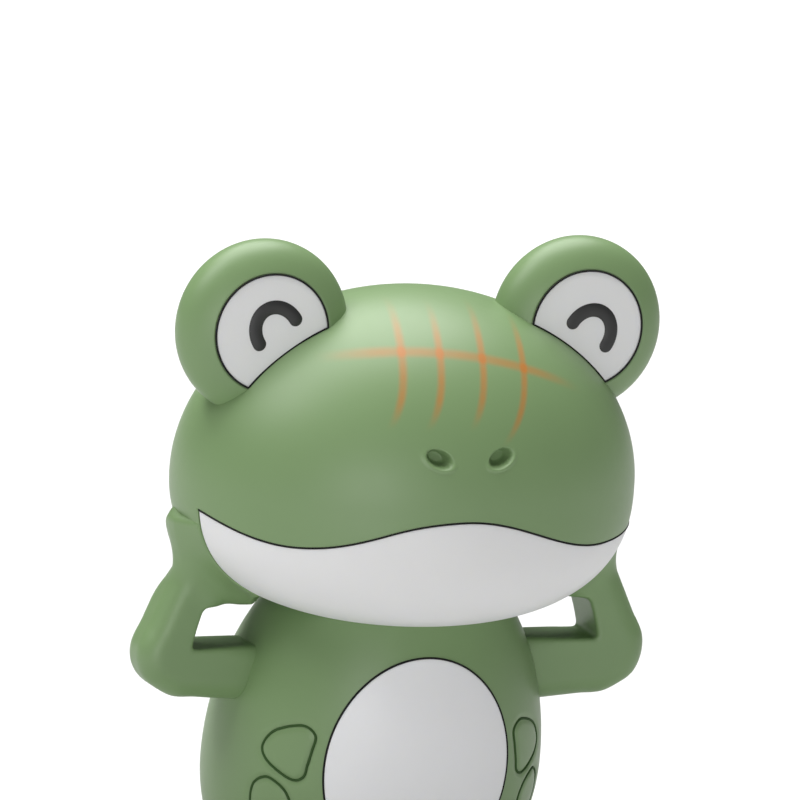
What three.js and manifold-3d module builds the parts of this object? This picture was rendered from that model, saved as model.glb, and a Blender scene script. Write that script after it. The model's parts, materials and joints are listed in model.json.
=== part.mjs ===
// Wind-up jumping frog: hollow moulded shells around a clockwork hopping motor.
//
// Millimetres, +Z up, the floor at z = 0. The frog faces -Y and its left side is +X.
// The motor's shafts lie along X. The winding key is on the frog's left side, and the
// motor's cam pushes both feet down together about a pin under the back of the body.

import * as THREE from 'three';
import { ConvexGeometry } from 'three/addons/geometries/ConvexGeometry.js';
import { mergeVertices } from 'three/addons/utils/BufferGeometryUtils.js';
import Module from 'manifold-3d';

const wasm = await Module();
wasm.setup();

// ---------------------------------------------------------------- driving dimensions

const GAP = 0.3; // between curved neighbours
const FIT = 0.03; // radial, between pieces pressed together
const RUN = 0.1; // radial, between a shaft and the hole it turns in
const TOUCH = 0.05; // between flat faces that rest on each other
const WALL = 2.2; // moulded shells
const FAR = 120; // beyond every piece, for cutting boxes

const HEAD = {
  y: -0.68, z: 68.7, halfWidth: 30.4, halfDepth: 23.3, crown: 24.5,
  chin: 17.2, chinPower: 2.4, chinForward: 5.7, backSeam: 8.4,
};
const MOUTH = { low: 63.0, rise: 4.45, lowAt: 21, cornerLift: 0.037, backSeam: -6.2 };
const EYE = {
  x: 21.3, y: -3.5, z: 88.7, radius: 11.3, halfDepth: 5.2, roundness: 2.2,
  whiteRadius: 7.4, whiteFront: 4.0, whiteDepth: 1.2,
};
const BODY = {
  y: 5.1, z: 31, halfWidth: 22.2, halfDepth: 18.7, shoulder: 30.7, seat: 24,
  lean: 0.116, floor: 11, backSeam: 13,
};
const BELLY = { z: 33, halfWidth: 12.4, halfHeight: 14.6, depth: 1.2 };
const NECK = {
  y: 4, plateLow: 45.5, plateHigh: 48, bossRadius: 6, screwRadius: 1.2,
  headRadius: 2.6, headHeight: 1.6,
};
const ARM = {
  front: -1, back: 7.6, bevel: 1,
  upper: [[17, 43, 4.1], [27, 44.6, 4.6], [29.2, 46.3, 5]],
  fore: [[29.2, 46.3, 5], [26.4, 57.2, 3.7]],
  palm: [[21, 57, 5], [26.4, 57.2, 3.7], [27, 62, 3.4]],
  finger: [[27, 61, 2], [29.9, 64.3, 2]],
  window: [[10, 47.1], [27.3, 47.1], [27, 49.3], [26.1, 52.4], [10, 52.4]],
  cheek: { grow: 1, inner: 20, outer: 32, front: -5.9, low: 53.4, high: 64.6 },
};

const BASE = { halfWidth: 12, halfDepth: 10, y: 7.4, low: 9.4, high: 10.9 };
const BOSS = {
  x: 9.6, front: 3.5, back: 11.3, radius: 1.7, top: 17, screwRadius: 0.8,
  headRadius: 1.5, headHeight: 0.5,
};

const PLATE = { inner: 6.5, thickness: 1.2 };
const MODULE = 0.5; // gear module
const TOOTH = { addendum: 0.8, dedendum: 1.15, tipHalf: 0.13, rootHalf: 0.29 };
const SHAFT_RADIUS = 0.75;
const SHAFT_SIDES = 12;
const ARBOR = { y: 6, z: 18.3, radius: 1.2, left: -7.9, right: 26, shellHole: 1.9 };
const TRAIN = {
  great: 26, secondPinion: 10, second: 24, thirdPinion: 10, third: 24, crankPinion: 12,
  secondDirection: 0.84, thirdDirection: 2.061, crankDirection: 3.922,
};
const GEAR_PLANES = {
  great: [-1.5, -0.5], secondPinion: [-1.6, -0.4], second: [1, 2], thirdPinion: [0.9, 2.1],
  third: [2.6, 3.6], crankPinion: [2.5, 3.7],
};
const CAM = { radius: 4, throw: 2.5, low: 4.3, high: 5.8 };
const RATCHET = { teeth: 12, tip: 3.4, root: 2.7, low: -0.4, high: 0.5 };
const SPRING = { turns: 4, inner: 1.9, outer: 6.2, strip: 0.35, low: -6.2, high: -1.9 };
const PILLARS = [[15, 16.5], [16, 33], [-0.5, 36], [-3, 18.5]];
const PILLAR_RADIUS = 1.1;

const KEY = {
  hubRadius: 2.4, hubLow: 20.6, hubHigh: 27, wingLow: 23, wingHigh: 31, reach: 8,
  thickness: 1.8,
};

const PIVOT = {
  y: 16, z: 6.5, radius: 1, halfLength: 12.4, lugRadius: 2.3, lugInner: 6.4, lugOuter: 8.4,
};
const COIL = { turns: 5, radius: 1.7, wire: 0.3, halfLength: 5 };
const LEVER = { inner: 9, outer: 11.6, barrel: 2.1, low: 4.7, high: 8.2, front: -8 };
const HAUNCH = {
  x: 13.2, y: 2.5, z: 8.5, halfWidth: 6.9, halfDepth: 10.5, halfHeight: 6.8, inner: 12.4,
  bodyGap: 0.8,
};
const YOKE = { front: -1, back: 4, low: 5.2, high: 8.4 };
const TONGUE = { front: 1.3, back: 3.3, slot: 0.7, swing: 0.9 };
const FOOT = { x: 12.4, y: -6.5, thickness: 4.4, bevel: 0.9, splay: 0.12 };
const FOOT_SCREW = { y: -5, radius: 0.75, headRadius: 1.5, headLow: 0.2, headTop: 1.2, top: 7.3 };

// ---------------------------------------------------------------- colours

const plastic = (color, roughness = 0.45) => ({ color, roughness, metalness: 0 });
const metal = (color, roughness = 0.35) => ({ color, roughness, metalness: 0.9 });
const GREEN = plastic(0x7f9a6c);
const WHITE = plastic(0xd9d9d8);
const CREAM = plastic(0xe8e2d0, 0.5);
const STEEL = metal(0xa9adb2);
const BRASS = metal(0xc9a75a, 0.3);
const SPRING_STEEL = metal(0x5d646e, 0.3);

// ---------------------------------------------------------------- solids and nodes

const frog = new THREE.Group();

function toSolid(geometry) {
  const bare = geometry.clone();
  bare.deleteAttribute('normal');
  bare.deleteAttribute('uv');
  const merged = mergeVertices(bare, 1e-4);
  return new wasm.Manifold(new wasm.Mesh({
    numProp: 3,
    vertProperties: Float32Array.from(merged.attributes.position.array),
    triVerts: Uint32Array.from(merged.index.array),
  }));
}

function toGeometry(solid) {
  const mesh = solid.getMesh();
  const geometry = new THREE.BufferGeometry();
  geometry.setAttribute('position', new THREE.BufferAttribute(mesh.vertProperties, 3));
  geometry.setIndex(new THREE.BufferAttribute(mesh.triVerts, 1));
  geometry.computeVertexNormals();
  return geometry;
}

function addNode(name, solid, finish) {
  const mesh = new THREE.Mesh(toGeometry(solid), new THREE.MeshStandardMaterial(finish));
  mesh.name = name;
  frog.add(mesh);
}

const joined = (first, ...others) => others.reduce((all, next) => all.add(next), first);

function box([x0, x1], [y0, y1], [z0, z1]) {
  const geometry = new THREE.BoxGeometry(x1 - x0, y1 - y0, z1 - z0);
  return toSolid(geometry.translate((x0 + x1) / 2, (y0 + y1) / 2, (z0 + z1) / 2));
}

// A round bar along X through the point (y, z).
function barX(radius, [x0, x1], y, z, sides = SHAFT_SIDES) {
  const geometry = new THREE.CylinderGeometry(radius, radius, x1 - x0, sides);
  return toSolid(geometry.rotateZ(Math.PI / 2).translate((x0 + x1) / 2, y, z));
}

// A round bar along Z through the point (x, y).
function barZ(radius, [z0, z1], x, y, sides = SHAFT_SIDES) {
  const geometry = new THREE.CylinderGeometry(radius, radius, z1 - z0, sides);
  return toSolid(geometry.rotateX(Math.PI / 2).translate(x, y, (z0 + z1) / 2));
}

// An outline drawn in (y, z), extruded along X from x0 to x1.
function slabX(outline, [x0, x1], curveSegments = 8) {
  const geometry = new THREE.ExtrudeGeometry(outline, {
    depth: x1 - x0, bevelEnabled: false, curveSegments,
  });
  const axes = new THREE.Matrix4().makeBasis(
    new THREE.Vector3(0, 1, 0), new THREE.Vector3(0, 0, 1), new THREE.Vector3(1, 0, 0),
  );
  return toSolid(geometry.applyMatrix4(axes).translate(x0, 0, 0));
}

// An outline drawn in (x, z), extruded along Y from y0 to y1.
function slabY(outline, [y0, y1], curveSegments = 12) {
  const geometry = new THREE.ExtrudeGeometry(outline, {
    depth: y1 - y0, bevelEnabled: false, curveSegments,
  });
  return toSolid(geometry.rotateX(Math.PI / 2).translate(0, y1, 0));
}

// A unit ball with its poles on Z, reshaped point by point.
function warpedBall(segments, rings, warp) {
  const ball = new THREE.SphereGeometry(1, segments, rings).rotateX(Math.PI / 2);
  const points = ball.attributes.position;
  const point = new THREE.Vector3();
  for (let i = 0; i < points.count; i += 1) {
    warp(point.fromBufferAttribute(points, i));
    points.setXYZ(i, point.x, point.y, point.z);
  }
  return toSolid(ball);
}

// ---------------------------------------------------------------- head

// The whole head, grown outwards by a distance: round above its widest line, and a
// fuller bowl that moves forward towards the chin below it.
function headBall(grow, segments = 24, rings = 14) {
  return warpedBall(segments, rings, (point) => {
    const across = Math.hypot(point.x, point.y);
    const power = point.z < 0 ? 2 / HEAD.chinPower : 1;
    const reach = across > 0 ? across ** power / across : 0;
    const height = Math.abs(point.z) ** power;
    const forward = point.z < 0 ? HEAD.chinForward * height * height : 0;
    const depth = point.z < 0 ? -(HEAD.chin + grow) : HEAD.crown + grow;
    point.set(
      point.x * reach * (HEAD.halfWidth + grow),
      HEAD.y - forward + point.y * reach * (HEAD.halfDepth + grow),
      HEAD.z + height * depth,
    );
  });
}

function mouthHeight(x) {
  const side = Math.abs(x);
  if (side > MOUTH.lowAt) return MOUTH.low + MOUTH.cornerLift * (side - MOUTH.lowAt) ** 2;
  return MOUTH.low + MOUTH.rise * (1 + Math.cos((Math.PI * side) / MOUTH.lowAt)) / 2;
}

// Everything under the mouth line and in front of the jaw's back edge.
function jawRegion(grow) {
  const reach = HEAD.halfWidth + 4;
  const outline = new THREE.Shape();
  outline.moveTo(-reach, HEAD.z - 2 * HEAD.chin);
  outline.lineTo(reach, HEAD.z - 2 * HEAD.chin);
  const steps = 32;
  for (let i = 0; i <= steps; i += 1) {
    const x = reach * (1 - (2 * i) / steps);
    outline.lineTo(x, mouthHeight(x) + grow);
  }
  return slabY(outline, [-FAR, MOUTH.backSeam + grow]);
}

// A puck that turns about an axis along Y, with a rounded rim.
function eyePuck(side, radius, halfDepth) {
  const power = 2 / EYE.roundness;
  const profile = [];
  const steps = 10;
  for (let i = 0; i <= steps; i += 1) {
    const angle = Math.PI * (i / steps - 0.5);
    const out = i === 0 || i === steps ? 0 : Math.cos(angle) ** power;
    const along = Math.sign(angle) * Math.abs(Math.sin(angle)) ** power;
    profile.push(new THREE.Vector2(radius * out, halfDepth * along));
  }
  const geometry = new THREE.LatheGeometry(profile, 24);
  return toSolid(geometry.translate(side * EYE.x, EYE.y, EYE.z));
}

function eyeCylinder(side, radius, [front, back]) {
  const geometry = new THREE.CylinderGeometry(radius, radius, back - front, 24);
  return toSolid(geometry.translate(side * EYE.x, EYE.y + (front + back) / 2, EYE.z));
}

function addHead() {
  const hollow = headBall(0).subtract(headBall(-WALL, 16, 10));
  const front = box([-FAR, FAR], [-FAR, HEAD.backSeam], [0, FAR]);
  const back = box([-FAR, FAR], [HEAD.backSeam + TOUCH, FAR], [0, FAR]);
  const neckHole = barZ(NECK.screwRadius + RUN, [0, HEAD.z], 0, NECK.y);
  const upper = hollow.intersect(front).subtract(jawRegion(GAP)).subtract(neckHole);
  addNode('head_front_shell', upper, GREEN);
  addNode('head_rear_shell', hollow.intersect(back), GREEN);
  addNode('jaw_shell', hollow.intersect(jawRegion(0)), WHITE);
}

function addEye(side, label) {
  const clearOfHead = headBall(GAP);
  const whiteBack = -EYE.whiteFront + EYE.whiteDepth;
  const recess = eyeCylinder(side, EYE.whiteRadius + GAP, [-FAR, whiteBack + TOUCH]);
  const housing = eyePuck(side, EYE.radius, EYE.halfDepth);
  const white = eyeCylinder(side, EYE.whiteRadius, [-EYE.whiteFront, whiteBack]);
  addNode(`eye_housing_${label}`, housing.subtract(recess).subtract(clearOfHead), GREEN);
  addNode(`eye_white_${label}`, white.subtract(clearOfHead), WHITE);
}

// ---------------------------------------------------------------- body

// The egg-shaped body, grown outwards by a distance. The floor end stays open, so its
// length downwards doesn't change.
function bodyBall(grow, segments = 24, rings = 14) {
  return warpedBall(segments, rings, (point) => {
    const height = point.z < 0 ? point.z * BODY.seat : point.z * (BODY.shoulder + grow);
    point.set(
      point.x * (BODY.halfWidth + grow),
      BODY.y - BODY.lean * height + point.y * (BODY.halfDepth + grow),
      BODY.z + height,
    );
  });
}

function bellyPrism(grow) {
  const outline = new THREE.Shape();
  const [halfWidth, halfHeight] = [BELLY.halfWidth + grow, BELLY.halfHeight + grow];
  outline.absellipse(0, BELLY.z, halfWidth, halfHeight, 0, 2 * Math.PI);
  return slabY(outline, [-FAR, 0], 24);
}

const bossPlaces = [BOSS.front, BOSS.back].flatMap((y) => [[-BOSS.x, y], [BOSS.x, y]]);

function addBody() {
  const height = [BODY.floor, FAR];
  const aboveFloor = box([-FAR, FAR], [-FAR, FAR], height);
  const front = box([-FAR, FAR], [-FAR, BODY.backSeam], height);
  const back = box([-FAR, FAR], [BODY.backSeam + TOUCH, FAR], height);
  const clearOfHead = headBall(GAP);
  const hollow = bodyBall(0).subtract(bodyBall(-WALL, 16, 10)).subtract(clearOfHead);
  let frontShell = hollow.intersect(front);
  for (const [x, y] of bossPlaces) {
    const boss = barZ(BOSS.radius, [BODY.floor - 1, BOSS.top], x, y);
    frontShell = frontShell.add(boss.intersect(aboveFloor));
  }
  for (const [x, y] of bossPlaces) {
    frontShell = frontShell.subtract(barZ(BOSS.screwRadius + FIT, [0, BOSS.top - 1], x, y));
  }
  const recess = bellyPrism(GAP).subtract(bodyBall(-BELLY.depth - GAP));
  const arborHole = barX(ARBOR.shellHole, [BODY.halfWidth / 2, FAR], ARBOR.y, ARBOR.z);
  addNode('body_front_shell', frontShell.subtract(recess).subtract(arborHole), GREEN);
  addNode('body_rear_shell', hollow.intersect(back), GREEN);
  const plate = bodyBall(0).intersect(bellyPrism(0)).subtract(bodyBall(-BELLY.depth));
  addNode('belly_plate', plate, WHITE);
}

function addNeck() {
  const slab = box([-FAR, FAR], [-FAR, FAR], [NECK.plateLow, NECK.plateHigh]);
  const disc = bodyBall(-WALL - GAP, 16, 10).intersect(slab);
  const boss = barZ(NECK.bossRadius, [NECK.plateLow, HEAD.z], 0, NECK.y, 20);
  const screwHole = barZ(NECK.screwRadius + FIT, [0, FAR], 0, NECK.y);
  const plate = disc.add(boss).subtract(headBall(GAP)).subtract(screwHole);
  addNode('neck_plate', plate, CREAM);
  const headHigh = NECK.plateLow - TOUCH;
  const shank = barZ(NECK.screwRadius, [headHigh - 1, NECK.plateHigh + 10], 0, NECK.y);
  const head = barZ(NECK.headRadius, [headHigh - NECK.headHeight, headHigh], 0, NECK.y);
  addNode('neck_screw', shank.add(head), STEEL);
}

// ---------------------------------------------------------------- arms

// The corners of a disc that faces Y, as deep as the arm, with bevelled edges.
function discPoints(x, z, radius) {
  const { front, back, bevel } = ARM;
  const layers = [
    [front, radius - bevel], [front + bevel, radius],
    [back - bevel, radius], [back, radius - bevel],
  ];
  return layers.flatMap(([y, reach]) => Array.from({ length: 16 }, (unused, i) => {
    const turn = (i * Math.PI) / 8;
    return new THREE.Vector3(x + reach * Math.cos(turn), y, z + reach * Math.sin(turn));
  }));
}

// A flat limb round a chain of discs, each given as [x, z, radius].
function limb(side, discs) {
  const corners = discs.flatMap(([x, z, radius]) => discPoints(side * x, z, radius));
  return toSolid(new ConvexGeometry(corners));
}

// The hand's front lies on the cheek as a thin layer round the side of the head.
function cheekPad(side) {
  const { grow, inner, outer, front, low, high } = ARM.cheek;
  const x = [side * inner, side * outer].sort((a, b) => a - b);
  const region = box(x, [front, 0], [low, high]);
  return headBall(grow).intersect(region);
}

function addArm(side, label) {
  const window = new THREE.Shape(ARM.window.map(([x, z]) => new THREE.Vector2(side * x, z)));
  const whole = joined(
    limb(side, ARM.upper),
    limb(side, ARM.fore),
    limb(side, ARM.palm),
    limb(side, ARM.finger),
    cheekPad(side),
  );
  const open = whole.subtract(slabY(window, [-FAR, FAR]));
  const arm = open.subtract(headBall(GAP)).subtract(bodyBall(GAP));
  addNode(`arm_${label}`, arm, GREEN);
}

// ---------------------------------------------------------------- base and legs

// A rounded lug around the pivot pin's line that reaches up to the given height.
function pivotLug(radius, frontY, topZ, hole) {
  const outline = new THREE.Shape();
  outline.moveTo(frontY, topZ);
  outline.lineTo(frontY, PIVOT.z);
  outline.absarc(PIVOT.y, PIVOT.z, radius, Math.PI * 1.2, Math.PI * 0.5 + 2 * Math.PI, false);
  outline.lineTo(PIVOT.y, topZ);
  outline.closePath();
  outline.holes.push(new THREE.Path().absarc(PIVOT.y, PIVOT.z, hole, 0, 2 * Math.PI, true));
  return outline;
}

function addBase() {
  const outline = new THREE.CylinderGeometry(1, 1, BASE.high - BASE.low, 28).rotateX(Math.PI / 2);
  outline.scale(BASE.halfWidth, BASE.halfDepth, 1);
  outline.translate(0, BASE.y, (BASE.low + BASE.high) / 2);
  let plate = toSolid(outline);
  for (const [x, y] of bossPlaces) {
    plate = plate.subtract(barZ(BOSS.screwRadius + RUN, [0, FAR], x, y));
  }
  const slotX = [CAM.low - GAP, CAM.high + GAP];
  const slotY = [TONGUE.front - TONGUE.slot - TONGUE.swing, TONGUE.back + TONGUE.slot];
  plate = plate.subtract(box(slotX, slotY, [0, FAR]));
  const lug = pivotLug(PIVOT.lugRadius, PIVOT.y - 4, BASE.low + 0.5, PIVOT.radius + FIT);
  plate = plate.add(slabX(lug, [PIVOT.lugInner, PIVOT.lugOuter], SHAFT_SIDES));
  plate = plate.add(slabX(lug, [-PIVOT.lugOuter, -PIVOT.lugInner], SHAFT_SIDES));
  addNode('base_plate', plate, GREEN);
  bossPlaces.forEach(([x, y], i) => {
    const headHigh = BASE.low - TOUCH;
    const shank = barZ(BOSS.screwRadius, [headHigh - BOSS.headHeight, BOSS.top - 2], x, y);
    const head = barZ(BOSS.headRadius, [headHigh - BOSS.headHeight, headHigh], x, y);
    addNode(`base_screw_${i + 1}`, shank.add(head), STEEL);
  });
  const pinEnds = [-PIVOT.halfLength, PIVOT.halfLength];
  addNode('leg_pivot_pin', barX(PIVOT.radius, pinEnds, PIVOT.y, PIVOT.z), STEEL);
}

// The lever in side view: a barrel on the pin and a bar that runs forward over the foot.
function leverOutline() {
  const outline = new THREE.Shape();
  outline.moveTo(LEVER.front, LEVER.low);
  outline.lineTo(PIVOT.y - 1, LEVER.low);
  outline.absarc(PIVOT.y, PIVOT.z, LEVER.barrel, -Math.PI / 2, Math.PI / 2, false);
  outline.lineTo(LEVER.front + 2, LEVER.high);
  outline.quadraticCurveTo(LEVER.front, LEVER.high, LEVER.front, LEVER.high - 2);
  outline.closePath();
  const hole = new THREE.Path().absarc(PIVOT.y, PIVOT.z, PIVOT.radius + RUN, 0, 2 * Math.PI, true);
  outline.holes.push(hole);
  return outline;
}

// Seen from above, with the toes towards +v: a round heel and three round toes.
function footOutline() {
  const outline = new THREE.Shape();
  outline.absarc(0, -12, 4.2, Math.PI, 2 * Math.PI, false);
  outline.absarc(5.6, 11, 2.9, -0.4, Math.PI * 0.7, false);
  outline.absarc(0, 13, 2.9, Math.PI * 0.25, Math.PI * 0.75, false);
  outline.absarc(-5.6, 11, 2.9, Math.PI * 0.3, Math.PI + 0.4, false);
  outline.closePath();
  return outline;
}

function addLeg(side, label) {
  const x = [side * LEVER.inner, side * LEVER.outer].sort((a, b) => a - b);
  const middle = (x[0] + x[1]) / 2;
  const screwHole = barZ(FOOT_SCREW.radius + FIT, [0, FOOT_SCREW.top + 0.3], middle, FOOT_SCREW.y);
  addNode(`leg_lever_${label}`, slabX(leverOutline(), x, 12).subtract(screwHole), GREEN);
  const geometry = new THREE.ExtrudeGeometry(footOutline(), {
    depth: FOOT.thickness - FOOT.bevel, bevelEnabled: true, bevelThickness: FOOT.bevel,
    bevelSize: FOOT.bevel, bevelSegments: 1, curveSegments: 6,
  });
  geometry.rotateZ(Math.PI + side * FOOT.splay).translate(side * FOOT.x, FOOT.y, 0);
  const aboveFloor = box([-FAR, FAR], [-FAR, FAR], [0, FAR]);
  const headRoom = [-1, FOOT_SCREW.headTop + TOUCH];
  const headHole = barZ(FOOT_SCREW.headRadius + GAP, headRoom, middle, FOOT_SCREW.y);
  const foot = toSolid(geometry).intersect(aboveFloor).subtract(screwHole).subtract(headHole);
  addNode(`foot_${label}`, foot, GREEN);
  const { headLow, headTop, top } = FOOT_SCREW;
  const shank = barZ(FOOT_SCREW.radius, [headLow, top], middle, FOOT_SCREW.y);
  const head = barZ(FOOT_SCREW.headRadius, [headLow, headTop], middle, FOOT_SCREW.y);
  addNode(`foot_screw_${label}`, shank.add(head), STEEL);
}

// A rounded thigh outside the lever. It stands clear of the body above it.
function addHaunch(side, label) {
  const ball = new THREE.SphereGeometry(1, 20, 12)
    .rotateX(Math.PI / 2)
    .scale(HAUNCH.halfWidth, HAUNCH.halfDepth, HAUNCH.halfHeight)
    .translate(side * HAUNCH.x, HAUNCH.y, HAUNCH.z);
  const x = [side * HAUNCH.inner, side * FAR].sort((a, b) => a - b);
  const room = box(x, [-FAR, FAR], [FOOT.thickness + GAP, FAR]);
  const thigh = toSolid(ball).intersect(room).subtract(bodyBall(HAUNCH.bodyGap));
  addNode(`haunch_${label}`, thigh, GREEN);
}

function addYoke() {
  const halfSpan = LEVER.inner - TOUCH;
  const bar = box([-halfSpan, halfSpan], [YOKE.front, YOKE.back], [YOKE.low, YOKE.high]);
  addNode('yoke_bar', bar, GREEN);
  const camLowest = shafts.crank.z - CAM.throw - CAM.radius;
  const tongueHeight = [YOKE.high + TOUCH, camLowest - GAP];
  const tongue = box([CAM.low, CAM.high], [TONGUE.front, TONGUE.back], tongueHeight);
  addNode('push_tongue', tongue, CREAM);
}

// ---------------------------------------------------------------- motor

const gearDistance = (teethA, teethB) => MODULE * (teethA + teethB) / 2;

function shaftFrom(from, distance, direction) {
  return {
    y: from.y + distance * Math.cos(direction),
    z: from.z + distance * Math.sin(direction),
  };
}

// The shafts' places in (y, z), worked out down the train from the winding arbor.
const shafts = { arbor: { y: ARBOR.y, z: ARBOR.z } };
shafts.second = shaftFrom(
  shafts.arbor, gearDistance(TRAIN.great, TRAIN.secondPinion), TRAIN.secondDirection,
);
shafts.third = shaftFrom(
  shafts.second, gearDistance(TRAIN.second, TRAIN.thirdPinion), TRAIN.thirdDirection,
);
shafts.crank = shaftFrom(
  shafts.third, gearDistance(TRAIN.third, TRAIN.crankPinion), TRAIN.crankDirection,
);

// The angle at which a driven gear has a tooth, so that it meshes with a driver whose
// first tooth is at angle 0 and that lies in the opposite of the given direction.
function meshedPhase(driverTeeth, direction, teeth) {
  const turns = (direction * driverTeeth) / (2 * Math.PI);
  const part = turns - Math.floor(turns);
  return direction + Math.PI + ((part + 0.5) * 2 * Math.PI) / teeth;
}

function gear(teeth, phase, bore, shaft, plane) {
  const pitch = (MODULE * teeth) / 2;
  const [tip, root] = [pitch + TOOTH.addendum * MODULE, pitch - TOOTH.dedendum * MODULE];
  const step = (2 * Math.PI) / teeth;
  const corners = [
    [-TOOTH.rootHalf, root], [-TOOTH.tipHalf, tip], [TOOTH.tipHalf, tip], [TOOTH.rootHalf, root],
  ];
  const points = [];
  for (let i = 0; i < teeth; i += 1) {
    for (const [offset, radius] of corners) {
      const angle = phase + (i + offset) * step;
      points.push(new THREE.Vector2(
        shaft.y + radius * Math.cos(angle), shaft.z + radius * Math.sin(angle),
      ));
    }
  }
  const outline = new THREE.Shape(points);
  outline.holes.push(new THREE.Path().absarc(shaft.y, shaft.z, bore, 0, 2 * Math.PI, true));
  return slabX(outline, plane, SHAFT_SIDES);
}

function plateOutline() {
  const corners = [
    [2.5, BODY.floor], [12, BODY.floor], [17, 16], [18.3, 25], [18, 34], [14, 37.5],
    [0, 38], [-3, 34], [-4.9, 24], [-4.9, 17.5], [-2, 15],
  ];
  return new THREE.Shape(corners.map(([y, z]) => new THREE.Vector2(y, z)));
}

function addMotorPlate(side, label) {
  const x = [side * PLATE.inner, side * (PLATE.inner + PLATE.thickness)].sort((a, b) => a - b);
  let plate = slabX(plateOutline(), x);
  const cut = (shaft, radius) => {
    plate = plate.subtract(barX(radius, [-FAR, FAR], shaft.y, shaft.z));
  };
  cut(shafts.arbor, ARBOR.radius + RUN);
  for (const shaft of [shafts.second, shafts.third, shafts.crank]) cut(shaft, SHAFT_RADIUS + RUN);
  addNode(`motor_plate_${label}`, plate, CREAM);
}

function addPillars() {
  const reach = PLATE.inner - TOUCH;
  PILLARS.forEach(([y, z], i) => {
    addNode(`motor_pillar_${i + 1}`, barX(PILLAR_RADIUS, [-reach, reach], y, z), STEEL);
  });
}

// A flat strip wound outwards from the arbor.
function addMainspring() {
  const steps = SPRING.turns * 16;
  const edge = (shift) => Array.from({ length: steps + 1 }, (unused, i) => {
    const share = i / steps;
    const radius = SPRING.inner + (SPRING.outer - SPRING.inner - SPRING.strip) * share + shift;
    const angle = share * SPRING.turns * 2 * Math.PI;
    return new THREE.Vector2(
      ARBOR.y + radius * Math.cos(angle), ARBOR.z + radius * Math.sin(angle),
    );
  });
  const outline = new THREE.Shape([...edge(SPRING.strip), ...edge(0).reverse()]);
  addNode('mainspring', slabX(outline, [SPRING.low, SPRING.high]), SPRING_STEEL);
}

function ratchetWheel() {
  const points = [];
  for (let i = 0; i < RATCHET.teeth; i += 1) {
    const angle = (2 * Math.PI * i) / RATCHET.teeth;
    for (const radius of [RATCHET.root, RATCHET.tip]) {
      points.push(new THREE.Vector2(
        ARBOR.y + radius * Math.cos(angle), ARBOR.z + radius * Math.sin(angle),
      ));
    }
  }
  const outline = new THREE.Shape(points);
  const bore = new THREE.Path().absarc(ARBOR.y, ARBOR.z, ARBOR.radius + FIT, 0, 2 * Math.PI, true);
  outline.holes.push(bore);
  return slabX(outline, [RATCHET.low, RATCHET.high], SHAFT_SIDES);
}

// The click lies on the great wheel's face, with its tip just clear of the ratchet.
function addClick() {
  const click = new THREE.Shape([
    new THREE.Vector2(ARBOR.y - 5.4, ARBOR.z - 1.6),
    new THREE.Vector2(ARBOR.y - 4.2, ARBOR.z - 1.9),
    new THREE.Vector2(ARBOR.y - 3.75, ARBOR.z + 0.6),
    new THREE.Vector2(ARBOR.y - 4.6, ARBOR.z + 1.0),
  ]);
  const plane = [RATCHET.low, RATCHET.high];
  addNode('click', slabX(click, plane), STEEL);
  const wire = new THREE.Shape([
    new THREE.Vector2(ARBOR.y - 5.0, ARBOR.z + 1.25),
    new THREE.Vector2(ARBOR.y - 4.6, ARBOR.z + 1.25),
    new THREE.Vector2(ARBOR.y - 2.6, ARBOR.z + 4.6),
    new THREE.Vector2(ARBOR.y - 3.0, ARBOR.z + 4.8),
  ]);
  addNode('click_spring', slabX(wire, plane), SPRING_STEEL);
}

function addTrain() {
  const arbor = barX(ARBOR.radius, [ARBOR.left, ARBOR.right], ARBOR.y, ARBOR.z);
  addNode('winding_arbor', arbor, STEEL);
  addNode('great_wheel', gear(
    TRAIN.great, 0, ARBOR.radius + FIT, shafts.arbor, GEAR_PLANES.great,
  ), BRASS);
  addNode('ratchet_wheel', ratchetWheel(), STEEL);
  addClick();

  const stages = [
    ['second', 'great', 'secondPinion', 'secondDirection'],
    ['third', 'second', 'thirdPinion', 'thirdDirection'],
    ['crank', 'third', 'crankPinion', 'crankDirection'],
  ];
  for (const [name, driver, pinion, direction] of stages) {
    const shaft = shafts[name];
    const reach = PLATE.inner + PLATE.thickness - 0.2;
    const bore = SHAFT_RADIUS + FIT;
    const phase = meshedPhase(TRAIN[driver], TRAIN[direction], TRAIN[pinion]);
    addNode(`${name}_shaft`, barX(SHAFT_RADIUS, [-reach, reach], shaft.y, shaft.z), STEEL);
    addNode(`${name}_pinion`, gear(TRAIN[pinion], phase, bore, shaft, GEAR_PLANES[pinion]), BRASS);
    if (name !== 'crank') {
      addNode(`${name}_gear`, gear(TRAIN[name], 0, bore, shaft, GEAR_PLANES[name]), CREAM);
    }
  }
}

// A round cam set off its shaft. At rest its lobe points up, away from the push tongue.
function addCam() {
  const centre = { y: shafts.crank.y, z: shafts.crank.z + CAM.throw };
  const round = barX(CAM.radius, [CAM.low, CAM.high], centre.y, centre.z, 24);
  const bore = barX(SHAFT_RADIUS + FIT, [0, FAR], shafts.crank.y, shafts.crank.z);
  addNode('crank_cam', round.subtract(bore), CREAM);
}

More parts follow.
